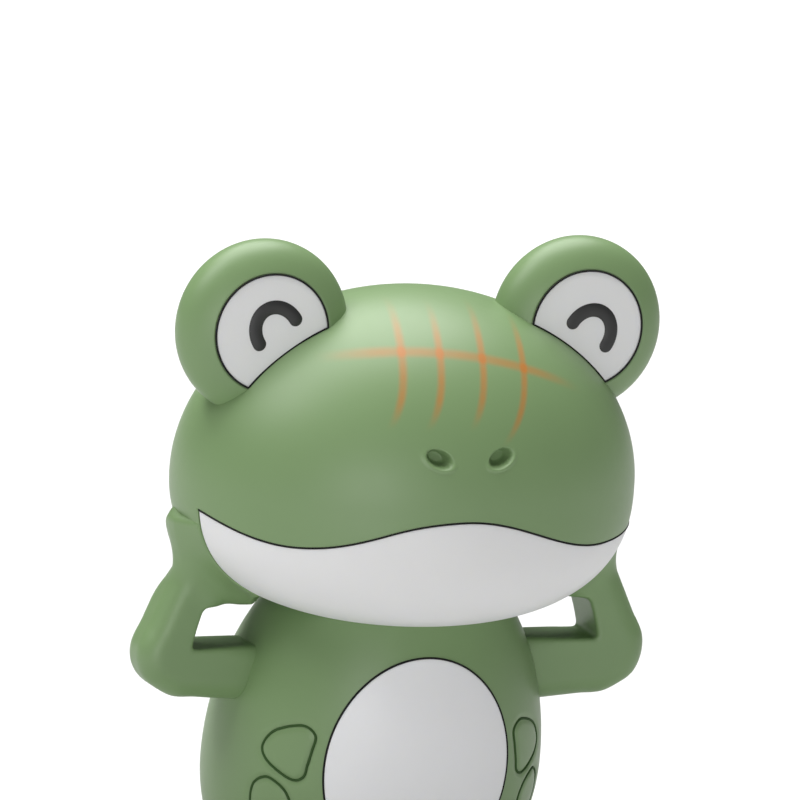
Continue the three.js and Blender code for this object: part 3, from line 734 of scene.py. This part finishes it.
def closed_curve(corners, per_span=24):
    """A smooth closed curve through the corners."""
    corners = np.asarray(corners, float)
    t = np.linspace(0, 1, per_span, endpoint=False)[:, None]
    weights = t ** np.arange(4) @ CATMULL_ROM
    reach = [np.roll(corners, shift, 0) for shift in (1, 0, -1, -2)]
    return np.vstack([weights @ np.array(four) for four in zip(*reach)])


def spot_lines():
    """The spots' outlines as curves on the body's surface."""
    lines = []
    for corners in SPOTS:
        curve = closed_curve(corners)
        for side in (1, -1):
            x, z = side * curve[:, 0], curve[:, 1]
            lines.append(np.stack([x, body_front_y(x, z), z], -1))
    return lines


def groove_shadow_lines():
    """A dark strip at the bottom of each spot's groove, painted as the groove's shadow."""
    for number, line in enumerate(spot_lines()):
        sunk = line - (GROOVE_DEPTH - 0.02) * outwards(body_field, line)
        yield tube(f"spot_groove_shadow_{number + 1}", sunk, GROOVE_SHADOW_LINE)


def distance_to(points, lines, reach):
    """Distance from each point to the nearest of the lines, up to reach."""
    best = np.full(len(points), float(reach))
    for line in lines:
        low, high = line.min(0) - reach, line.max(0) + reach
        near = np.where(((points > low) & (points < high)).all(1))[0]
        for part in np.array_split(near, max(1, len(near) // 4000)):
            gaps = np.linalg.norm(points[part][:, None] - line[None], axis=2).min(1)
            best[part] = np.minimum(best[part], gaps)
    return best


def body_surface():
    """The outer surface, from the open floor up to just inside the head."""
    angles = 2 * math.pi * dense_steps(BODY_COLUMNS, *SPOT_COLUMNS)[:-1]
    floor_turn = -math.asin((BODY_Z - BODY_FLOOR) / SEAT)

    def inside_head(turn):
        return -0.6 - head_field(body_point(angles, turn))

    top = bisect(inside_head, np.full(angles.shape, 0.2), np.full(angles.shape, 1.5))
    steps = dense_steps(BODY_ROWS, SPOT_ROWS)[:, None]
    points = body_point(angles, floor_turn + (top - floor_turn) * steps).reshape(-1, 3)
    sunk = distance_to(points, spot_lines(), 1.0)
    depth = GROOVE_DEPTH * np.exp(-((sunk / GROOVE_WIDTH) ** 2))
    points -= depth[:, None] * outwards(body_field, points)
    return mesh_piece("body_front", points, grid_faces(BODY_ROWS, len(angles), closed=True))


def mark_groove_shade(piece):
    """Stores how close each point is to a spot's outline, for the painted shade in the groove.
    """
    points = np.array([vertex.co for vertex in piece.data.vertices]) / MM
    gap = distance_to(points, spot_lines(), 1.0)
    tone = np.exp(-((gap / GROOVE_SHADE_REACH) ** 2)).astype(np.float32)
    attribute = piece.data.attributes.new("groove", "FLOAT", "POINT")
    attribute.data.foreach_set("value", tone)


def belly_surface():
    """The oval plate, a hair proud of the body."""
    rings, spokes = 40, 180
    share = np.linspace(0, 1, rings)[:, None]
    angle = full_turn(spokes)[None]
    x = BELLY_WIDTH * share * np.cos(angle)
    z = BELLY_Z + BELLY_HEIGHT * share * np.sin(angle)
    y = body_front_y(x, z) - BELLY_PROUD
    points = np.stack([x, y, z], -1).reshape(-1, 3)
    return mesh_piece("belly", points, grid_faces(rings, spokes, closed=True))


def belly_line():
    angle = full_turn(300)
    x = (BELLY_WIDTH + 0.06) * np.cos(angle)
    z = BELLY_Z + (BELLY_HEIGHT + 0.06) * np.sin(angle)
    line = np.stack([x, body_front_y(x, z) - 0.03, z], -1)
    return tube("belly_outline", line, INK_RADIUS + 0.02)


def build_body():
    front, rear = split_at_y(body_surface(), "body_rear", BODY_BACK_SEAM)
    for piece in (front, rear):
        thicken(piece)
        mark_groove_shade(piece)
    belly = thicken(belly_surface(), wall=0.5, edge=0.12)
    return front, rear, belly, belly_line()


# ---- arms, feet, key

# An arm is a flat limb round discs (x, z, radius) in a slanting slab with round edges.
ARM_FRONT, ARM_BACK, ARM_SLANT, ARM_FROM = -1.0, 6.9, -0.13, 19.0
ARM_EDGE, ARM_SINK = 3.0, 0.5
UPPER_ARM = ((15, 43, 4.2), (28, 45.2, 4.9), (29.3, 46.2, 5.1))
FOREARM = ((29.3, 46.2, 5.1), (25.9, 57.2, 3.7))
PALM = ((21, 57, 5.0), (25.9, 57.2, 3.7), (26.4, 61.5, 3.3))
HAND_THIN, HAND_FROM, HAND_OVER = 3.2, 52.5, 5

# The pad is the part of the hand that lies on the cheek; a finger stands up behind it.
PAD_FRONT, PAD_BACK, PAD_INNER, PAD_LOW = -6.05, 1, 20.5, 53.0
PAD_TOP, PAD_TILT, PAD_FILLET = 64.1, 0.12, 4.0
FINGER = ((26.0, 1.2, 58.8), (28.2, 1.4, 63.2), 2.6, 2.35)

# The window under the hand, and how much lower each arm's under edge hangs.
WINDOW = ((10, 47.1), (27.8, 47.1), (27.5, 49.3), (26.3, 52.4), (10, 52.4))
WINDOW_CORNER, WINDOW_EDGE = 0.9, 0.5
ARM_DROP, DROP_FROM, DROP_OVER = {1: 0.7, -1: -0.35}, 46.5, 4


def chain(p, discs):
    """Distance in the XZ plane to a limb round a chain of discs (x, z, radius)."""
    pairs = zip(discs, discs[1:])
    parts = [taper(p[..., ::2], a[:2], b[:2], a[2], b[2]) for a, b in pairs]
    return reduce(partial(merge, soft=0.5), parts)


def polygon(p, corners):
    """Distance in the XZ plane to a convex polygon, from its edges' half-planes."""
    edges = []
    for (x0, z0), (x1, z1) in zip(corners, corners[1:] + corners[:1]):
        outside = (p[..., 0] - x0) * (z1 - z0) - (p[..., 2] - z0) * (x1 - x0)
        edges.append(outside / math.hypot(x1 - x0, z1 - z0))
    return reduce(partial(keep, soft=WINDOW_CORNER), edges)


def rounded_edges(outline, depth, radius):
    """Joins an outline's distance and a depth's distance with a round edge."""
    a, b = outline + radius, depth + radius
    corner = np.sqrt(np.maximum(a, 0) ** 2 + np.maximum(b, 0) ** 2)
    return np.minimum(np.maximum(a, b), 0) + corner - radius


def arm_field(p):
    """One arm on the frog's left, with the hand on the cheek."""
    arm = merge(chain(p, UPPER_ARM), chain(p, FOREARM), 0.5)
    hand = chain(p, PALM)
    slant = ARM_SLANT * (p[..., 0] - ARM_FROM)
    thin = HAND_THIN * np.clip((p[..., 2] - HAND_FROM) / HAND_OVER, 0, 1) ** 2
    front, back = ARM_FRONT + slant, ARM_BACK + slant - thin
    depth = np.abs(p[..., 1] - (front + back) / 2) - (back - front) / 2
    limb = rounded_edges(merge(arm, hand, 1.4), depth, ARM_EDGE)
    head = head_field(p)
    lift = 0.1 + 0.9 * np.clip((p[..., 1] + 6.2) / 4.5, 0, 1)
    pad = keep(head - lift, PAD_FRONT - p[..., 1], 0.1)
    pad = keep(pad, np.maximum(PAD_INNER - p[..., 0], p[..., 1] - PAD_BACK), 0.3)
    top = p[..., 2] - PAD_TOP + PAD_TILT * (p[..., 1] + 1)
    pad = keep(pad, np.maximum(top, PAD_LOW - p[..., 2]), 1.2)
    whole = merge(merge(limb, pad, PAD_FILLET), taper(p, *FINGER), 1.0)
    whole = keep(whole, -polygon(p, WINDOW), WINDOW_EDGE)
    for solid in (head, body_field(p)):
        whole = keep(whole, -ARM_SINK - solid, 0.1)
    return whole


def sided_skin(name, side, field, low, high, step):
    """A skin in a box that is given for the frog's left."""
    if side < 0:
        low, high = (-high[0], *low[1:]), (-low[0], *high[1:])
    return skin(f"{name}_{side_name(side)}", field, low, high, step)


def build_arm(side):
    """One arm; the under edges of the two hang at slightly different heights."""

    def field(p):
        mirrored = p * np.array([side, 1, 1])
        drop = np.clip((DROP_FROM - p[..., 2]) / DROP_OVER, 0, 1)
        mirrored[..., 2] += ARM_DROP[side] * drop
        return arm_field(mirrored)

    return sided_skin("arm_and_hand", side, field, (14, -7, 37.5), (36, 9.0, 67.5), 0.3)


# A foot's middle, how far it turns outwards, and its heel, toes and web in its own frame.
FOOT_X, FOOT_Y, FOOT_SPLAY, FOOT_TOP = 12.4, -6.5, 0.12, 4.35
HEEL = ((0, -11.6, 0), (0, 3, 0), 4.3, 4.2)
TOES, WEB = ((5.7, 10.9), (0, 12.9), (-5.7, 10.9)), ((0, 7.5, 0), (7.2, 6.0, 2.3))
SCREW_X, SCREW_Y, SCREW_BORE, SCREW_RECESS = 10.3, -5, 1.85, 1.3


def foot_field(side, p):
    """A webbed foot with three round toes; its own frame has the toes towards +v."""
    behind = side * FOOT_X - p[..., 0], FOOT_Y - p[..., 1]
    q = np.stack([*turned(*behind, -side * FOOT_SPLAY), p[..., 2]], -1)
    foot = taper(q, *HEEL)
    for toe_u, toe_v in TOES:
        toe = taper(q, (toe_u * 0.3, 1, 0.4), (toe_u, toe_v, 0.6), 2.6, 3.5)
        foot = merge(foot, toe, 1.2)
    foot = merge(foot, ball(q, *WEB), 1.0)
    foot = keep(foot, p[..., 2] - FOOT_TOP, 0.6)
    foot = keep(foot, -p[..., 2], 0.5)
    bore = np.hypot(p[..., 0] - side * SCREW_X, p[..., 1] - SCREW_Y) - SCREW_BORE
    return np.maximum(foot, -np.maximum(bore, p[..., 2] - SCREW_RECESS))


# A thigh, its two flats, and its gap to the body.
THIGH, THIGH_INNER, THIGH_LOW, THIGH_GAP = ((13.2, 2.5, 8.5), (6.9, 10.5, 6.8)), 12.4, 3.9, 0.85


def haunch_field(side, p):
    """A thigh beside the body, flat where it meets its lever."""
    q = p * np.array([side, 1, 1])
    thigh = ball(q, *THIGH)
    for flat in (THIGH_INNER - q[..., 0], THIGH_LOW - q[..., 2], THIGH_GAP - body_field(q)):
        thigh = keep(thigh, flat, 0.6)
    return thigh


def build_leg(side):
    foot, haunch = partial(foot_field, side), partial(haunch_field, side)
    return (
        sided_skin("webbed_foot", side, foot, (2.5, -25, -0.9), (25.0, 12, 5.2), 0.33),
        sided_skin("thigh", side, haunch, (11.5, -9.5, 3), (21.5, 14.5, 16.5), 0.33),
    )


# The key's axis, the ends of its hub along X, and its wings.
KEY_Y, KEY_Z = 6.0, 18.3
HUB_START, HUB_END, HUB_RADIUS, COLLAR_END, COLLAR_RADIUS = 20.6, 27, 2.4, 21.6, 2.75
WING_SPAN, WING_RADIUS, WING_THICK = 4, 4, 0.9
DISH_AT, DISH_RADIUS, DISH_FLOOR = 4.6, 2.5, 0.55
ARBOR_BORE, BORE_END = 1.23, 26.1


def key_field(p):
    """The winding key: a hub with two dished wings."""
    along, side, up = p[..., 0], p[..., 1] - KEY_Y, p[..., 2] - KEY_Z
    away = np.hypot(side, up)
    start = HUB_START - along
    hub = keep(keep(away - HUB_RADIUS, start, 0.4), along - HUB_END, 0.4)
    collar = keep(keep(away - COLLAR_RADIUS, start, 0.3), along - COLLAR_END, 0.3)
    flat = np.hypot(along - HUB_END, side - np.clip(side, -WING_SPAN, WING_SPAN))
    wings = keep(flat - WING_RADIUS, np.abs(up) - WING_THICK, 0.45)
    dish = np.hypot(along - HUB_END, np.abs(side) - DISH_AT) - DISH_RADIUS
    wings = keep(wings, -np.maximum(dish, DISH_FLOOR - np.abs(up)), 0.2)
    key = merge(merge(hub, wings, 0.7), collar, 0.2)
    return np.maximum(key, -np.maximum(away - ARBOR_BORE, along - BORE_END))


def build_key():
    return skin("key", key_field, (20, -3, 14.8), (31.6, 15, 21.8), 0.22)


# ---- materials


def linear(red, green, blue):
    """A colour given as 8-bit screen values."""
    parts = [value / 255 for value in (red, green, blue)]
    return tuple(
        part / 12.92 if part <= 0.04045 else ((part + 0.055) / 1.055) ** 2.4 for part in parts
    ) + (1.0,)


def set_inputs(node, values):
    for name, value in values.items():
        node.inputs[name].default_value = value


def new_node(tree, kind, **values):
    """A shader node with the given input values; underscores stand for spaces."""
    node = tree.nodes.new("ShaderNode" + kind)
    set_inputs(node, {name.replace("_", " "): value for name, value in values.items()})
    return node


class Field:
    """A number that varies over the surface, with arithmetic made of Math nodes."""

    def __init__(self, tree, socket):
        self.tree, self.socket = tree, socket

    def apply(self, operation, other=None):
        node = new_node(self.tree, "Math")
        node.operation = operation
        self.tree.links.new(self.socket, node.inputs[0])
        if isinstance(other, Field):
            self.tree.links.new(other.socket, node.inputs[1])
        elif other is not None:
            node.inputs[1].default_value = other
        return Field(self.tree, node.outputs[0])

    def __add__(self, other):
        return self.apply("ADD", other)

    def __sub__(self, other):
        return self.apply("SUBTRACT", other)

    def __mul__(self, other):
        return self.apply("MULTIPLY", other)

    def ramp(self, zero_at, one_at):
        """Smoothly from 0 to 1 between the two places."""
        node = new_node(self.tree, "MapRange", From_Min=zero_at, From_Max=one_at)
        node.interpolation_type = "SMOOTHSTEP"
        self.tree.links.new(self.socket, node.inputs["Value"])
        return Field(self.tree, node.outputs["Result"])


def polynomial(field, *factors):
    """factors[0] + factors[1] x + factors[2] x^2 and so on."""
    total = field * factors[-1]
    for factor in reversed(factors[1:-1]):
        total = (total + factor) * field
    return total + factors[0]


def new_material(name, roughness, metallic=0.0):
    material = bpy.data.materials.new(name)
    material.use_nodes = True
    tree = material.node_tree
    shader = tree.nodes["Principled BSDF"]
    set_inputs(shader, {"Metallic": metallic, "Roughness": roughness})
    place = new_node(tree, "TexCoord").outputs["Object"]
    return material, tree, shader, place


def noise(tree, place, scale, detail=3.0, roughness=0.55):
    node = new_node(tree, "TexNoise", Scale=scale, Detail=detail, Roughness=roughness)
    tree.links.new(place, node.inputs["Vector"])
    return Field(tree, node.outputs["Fac"])


def coordinates(tree, place):
    """X, Y and Z in millimetres."""
    split = new_node(tree, "SeparateXYZ")
    tree.links.new(place, split.inputs[0])
    return [Field(tree, split.outputs[axis]) * (1 / MM) for axis in "XYZ"]


def blend_colours(tree, share, a, b):
    """A colour between a and b; either may be a colour or a socket."""
    node = new_node(tree, "Mix")
    node.data_type = "RGBA"
    tree.links.new(share.socket, node.inputs["Factor"])
    for value, socket in ((a, node.inputs[6]), (b, node.inputs[7])):
        if isinstance(value, tuple):
            socket.default_value = value
        else:
            tree.links.new(value, socket)
    return node.outputs[2]


def add_bump(tree, shader, height):
    """Relief from a height in metres."""
    node = new_node(tree, "Bump", Distance=1.0, Strength=1.0)
    tree.links.new(height.socket, node.inputs["Height"])
    tree.links.new(node.outputs["Normal"], shader.inputs["Normal"])


def shade(colour, factor):
    return tuple(min(1.0, part * factor) for part in colour[:3]) + (1.0,)


def moulded_plastic(name, colour, roughness, soft=0.0):
    """Satin moulding: faint cloudy tone, fine grain and slightly uneven gloss."""
    material, tree, shader, place = new_material(name, roughness)
    clouds = noise(tree, place, 90)
    tone = blend_colours(tree, clouds, shade(colour, 0.97), shade(colour, 1.03))
    tree.links.new(tone, shader.inputs["Base Color"])
    gloss = noise(tree, place, 900, detail=2)
    uneven = (gloss - 0.5) * 0.08 + roughness
    tree.links.new(uneven.socket, shader.inputs["Roughness"])
    fine = noise(tree, place, 5200, detail=2)
    waves = noise(tree, place, 160, detail=1)
    add_bump(tree, shader, fine * 0.000004 + waves * 0.00002)
    if soft:
        depth = {"Scale": 0.002, "Radius": (1.0, 0.9, 0.6), "Weight": soft}
        set_inputs(shader, {"Subsurface " + name: value for name, value in depth.items()})
    return material, tree, shader, place, tone


# The sprayed streaks: width and strength; the level one's height as a polynomial in x, and
# its ends; the upright ones' x and ends, and how they lean with the height above LEAN_Z.
STREAK_WIDTH, STREAK_COVER, LEVEL_STRENGTH, CROSS_STRENGTH = 0.53, 0.8, 0.46, 0.54
LEVEL_STREAK, LEVEL_ENDS = (87.29, -0.1, -0.01014), (-16.8, 17.8)
CROSS_STREAKS = ((-7.05, 79.0, 92.4), (-2.25, 78.9, 92.2), (3.45, 78.9, 92.2), (9.4, 77.0, 90.6))
LEAN, LEAN_Z = (0.22, -0.008, 0.0025), 86


def streak(distance, along, start, end, fade):
    """One sprayed streak: soft across, fading towards both ends."""
    band = distance.apply("ABSOLUTE").ramp(STREAK_WIDTH * 1.55, STREAK_WIDTH * 0.1)
    return band * along.ramp(start - 0.5, start + fade) * along.ramp(end + 0.5, end - fade)


def sprayed_head(colour, orange):
    """The green head with the sprayed orange streaks on its forehead."""
    material, tree, shader, place, tone = moulded_plastic("head_green", colour, GREEN_ROUGH)
    x, y, z = coordinates(tree, place)
    level = z - polynomial(x, *LEVEL_STREAK)
    total = streak(level, x, *LEVEL_ENDS, 8.0) * LEVEL_STRENGTH
    for offset, low, high in CROSS_STREAKS:
        lean = polynomial(z - LEAN_Z, offset, *LEAN)
        total = total + streak(x - lean, z, low, high, 3.8) * CROSS_STRENGTH
    speckle = noise(tree, place, 700, detail=2)
    cover = total * polynomial(speckle, 0.8, 0.4) * y.ramp(-2, -5)
    painted = blend_colours(tree, cover.apply("MINIMUM", STREAK_COVER), tone, orange)
    tree.links.new(painted, shader.inputs["Base Color"])
    return material


def grooved_body(colour, dark):
    """The green body, with painted shade darkening the engraved outlines of its spots."""
    material, tree, shader, place, tone = moulded_plastic("body_green", colour, GREEN_ROUGH)
    mark = new_node(tree, "Attribute")
    mark.attribute_name = "groove"
    # painted shade: the stored groove mark blends in the darker green
    depth = Field(tree, mark.outputs["Fac"]).ramp(0.25, 0.95)
    painted = blend_colours(tree, depth * 0.8, tone, dark)
    tree.links.new(painted, shader.inputs["Base Color"])
    return material


def brushed_metal(name, colour, roughness, scale):
    """Metal with fine marks along X and a little dullness in patches."""
    material, tree, shader, place = new_material(name, roughness, metallic=1.0)
    stretch = new_node(tree, "Mapping", Scale=(0.08, 1, 1))
    tree.links.new(place, stretch.inputs["Vector"])
    lines = noise(tree, stretch.outputs["Vector"], scale, roughness=0.5)
    patches = noise(tree, place, 350)
    tone = blend_colours(tree, patches, shade(colour, 0.85), shade(colour, 1.08))
    tree.links.new(tone, shader.inputs["Base Color"])
    dull = lines * 0.2 + patches * 0.12 + (roughness - 0.16)
    tree.links.new(dull.socket, shader.inputs["Roughness"])
    add_bump(tree, shader, lines * 0.00001)
    return material


def matt_ink_and_shadow(name, colour, roughness=0.5):
    """Matt print with a faint uneven tone; also used for painted shadow."""
    material, tree, shader, place = new_material(name, roughness)
    cloud = noise(tree, place, 400)
    tone = blend_colours(tree, cloud, shade(colour, 0.85), shade(colour, 1.15))
    tree.links.new(tone, shader.inputs["Base Color"])
    add_bump(tree, shader, noise(tree, place, 4000, detail=2) * 0.000004)
    return material


GREEN = linear(118, 145, 99)
GREEN_ROUGH = 0.43
MATERIALS = {
    "head": sprayed_head(GREEN, linear(190, 106, 18)),
    # the darker green is painted shade in the spots' grooves
    "body": grooved_body(GREEN, linear(38, 66, 26)),
    "green": moulded_plastic("green_plastic", GREEN, GREEN_ROUGH)[0],
    "white": moulded_plastic("white_plastic", linear(226, 226, 226), 0.45, soft=0.15)[0],
    # painted light: a brighter copy of the white plastic, for the belly that the lamps leave too
    # dark
    "belly_lit_white": moulded_plastic("white_belly_painted_light", linear(238, 238, 238), 0.45, soft=0.15)[0],
    "cream": moulded_plastic("acetal", linear(226, 218, 196), 0.4, soft=0.1)[0],
    "black": matt_ink_and_shadow("black_print", linear(40, 40, 40)),
    # black for the printed mouth and belly lines, and painted shadow in the gap round each eye
    # white
    "line": matt_ink_and_shadow("black_line_and_gap_shadow", linear(4, 5, 3), 0.85),
    # painted shadow: the dark strip at the bottom of each spot's groove
    "groove": matt_ink_and_shadow("groove_shadow", linear(42, 74, 24), 0.8),
    "steel": brushed_metal("zinc_plated_steel", linear(190, 192, 196), 0.34, 2600),
    "brass": brushed_metal("brass", linear(206, 170, 96), 0.3, 2600),
    "spring_steel": brushed_metal("blued_spring_steel", linear(92, 100, 112), 0.3, 3200),
}
NODE_FINISH = {
    "green_plastic": "green",
    "white_plastic": "white",
    "motor_plastic": "cream",
    "steel": "steel",
    "brass": "brass",
    "spring_steel": "spring_steel",
}


def finish_cad_nodes():
    """Gives every CAD node that stays the procedural finish of its slot."""
    for part in frame["record"]["subparts"]:
        node = frame["nodes"][part["node"]]
        node.data.materials.clear()
        node.data.materials.append(MATERIALS[NODE_FINISH[part["material_slot"]]])


def place_piece(piece, material, body, slot, *nodes):
    piece.data.materials.clear()
    piece.data.materials.append(MATERIALS[material])
    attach(piece, body)
    if nodes:
        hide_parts(*nodes)


# ---- the frog


def build_frog():
    core, legs = "body_core", "legs"
    green, white = "green_plastic", "white_plastic"
    head_front, head_rear, jaw, lips = build_head()
    body_front, body_rear, belly, belly_rim = build_body()
    rows = [
        (head_front, "head", core, green, "head_front_shell"),
        (head_rear, "head", core, green, "head_rear_shell"),
        (jaw, "white", core, white, "jaw_shell"),
        (lips, "line", core, green),
        (body_front, "body", core, green, "body_front_shell"),
        (body_rear, "body", core, green, "body_rear_shell"),
        # the belly plate takes the brighter white, as painted light
        (belly, "belly_lit_white", core, white, "belly_plate"),
        (belly_rim, "line", core, green),
    ]
    # dark strips painted as the shadow in the spots' grooves
    rows += [(line, "groove", core, green) for line in groove_shadow_lines()]
    for side in (1, -1):
        name = side_name(side)
        housing, disc, outline, arc = build_eye(side)
        arm = build_arm(side)
        foot, haunch = build_leg(side)
        rows += [
            (housing, "green", core, green, f"eye_housing_{name}"),
            (disc, "white", core, white, f"eye_white_{name}"),
            # a black strip painted as the shadow in the eye white's gap
            (outline, "line", core, white),
            (arc, "black", core, white),
            (arm, "green", core, green, f"arm_{name}"),
            (foot, "green", legs, green, f"foot_{name}"),
            (haunch, "green", legs, green, f"haunch_{name}"),
        ]
    rows.append((build_key(), "white", "drive", white, "winding_key"))
    for row in rows:
        place_piece(*row)


# ---- stage

# The camera, and the area lights as name, place, size and power, all in metres and watts.
YAW, PITCH, ROLL = math.radians(21.752), math.radians(10.643), math.radians(3.205)
CAMERA_DISTANCE, LENS = 1.10831, 391.5
AIM = (0.001343, 0.0051, 0.077375)
LIGHTS = (
    ("top", (0.02, 0.2, 0.8), 0.8, 9.4),
    ("left", (-0.5, -0.02, 0.7), 0.45, 2.8),
    ("front", (-0.3, -0.92, 0.12), 0.45, 2.75),
)
LIGHT_AIM = (0, 0, 0.06)
SKY_STRENGTH = 0.1

# The floor: half its side in metres, its near greys (a painted shadow round the frog) and far
# grey, and how many millimetres from the middle it turns from near to far and starts to glow.
FLOOR_HALF = 4.0
FLOOR_GREYS = (0.4, 0.44, 0.76)
FAR_FROM, FAR_BY, GLOW_FROM, GLOW_BY, GLOW = 50, 120, 200, 900, 0.7


def look_at(location, target, roll=0.0):
    forward = (Vector(target) - Vector(location)).normalized()
    turn = forward.to_track_quat("-Z", "Y").to_matrix().to_4x4()
    return Matrix.Translation(location) @ turn @ Matrix.Rotation(roll, 4, "Z")


def add_camera():
    level = math.cos(PITCH)
    forward = Vector((math.sin(YAW) * level, math.cos(YAW) * level, -math.sin(PITCH)))
    data = bpy.data.cameras.new("camera")
    data.lens, data.sensor_width = LENS, 36
    data.clip_start, data.clip_end = 0.05, 20
    camera = link_object("camera", data)
    camera.matrix_world = look_at(Vector(AIM) - CAMERA_DISTANCE * forward, AIM, ROLL)
    bpy.context.scene.camera = camera


def add_light(name, location, size, power):
    data = bpy.data.lights.new(name, "AREA")
    data.shape, data.size, data.energy = "DISK", size, power
    link_object(name, data).matrix_world = look_at(location, LIGHT_AIM)


def floor_material():
    """Pale paper, grey near the frog as painted shadow, and glowing white far from it."""
    material, tree, shader, place = new_material("studio_floor", 0.9)
    x, y, _ = coordinates(tree, place)
    away = (x * x + y * y).apply("POWER", 0.5)
    # painted shadow: grey near the frog, which also dims the light bounced onto it
    dark, light, far = ((grey, grey, grey, 1) for grey in FLOOR_GREYS)
    near = blend_colours(tree, noise(tree, place, 3), dark, light)
    tone = blend_colours(tree, away.ramp(FAR_FROM, FAR_BY), near, far)
    tree.links.new(tone, shader.inputs["Base Color"])
    set_inputs(shader, {"Emission Color": (1, 1, 1, 1)})
    glow = away.ramp(GLOW_FROM, GLOW_BY) * GLOW
    tree.links.new(glow.socket, shader.inputs["Emission Strength"])
    return material


def add_stage():
    scene = bpy.context.scene
    scene.view_settings.view_transform = "Standard"
    world = bpy.data.worlds.new("studio")
    world.use_nodes = True
    background = world.node_tree.nodes["Background"]
    set_inputs(background, {"Color": (1, 1, 1, 1), "Strength": SKY_STRENGTH})
    scene.world = world
    mesh = bpy.data.meshes.new("floor")
    corners = [(x, y, 0) for x, y in ((-1, -1), (1, -1), (1, 1), (-1, 1))]
    mesh.from_pydata(FLOOR_HALF * np.array(corners), [], [(0, 1, 2, 3)])
    mesh.materials.append(floor_material())
    link_object("floor", mesh)
    for light in LIGHTS:
        add_light(*light)


finish_cad_nodes()
build_frog()
add_camera()
add_stage()
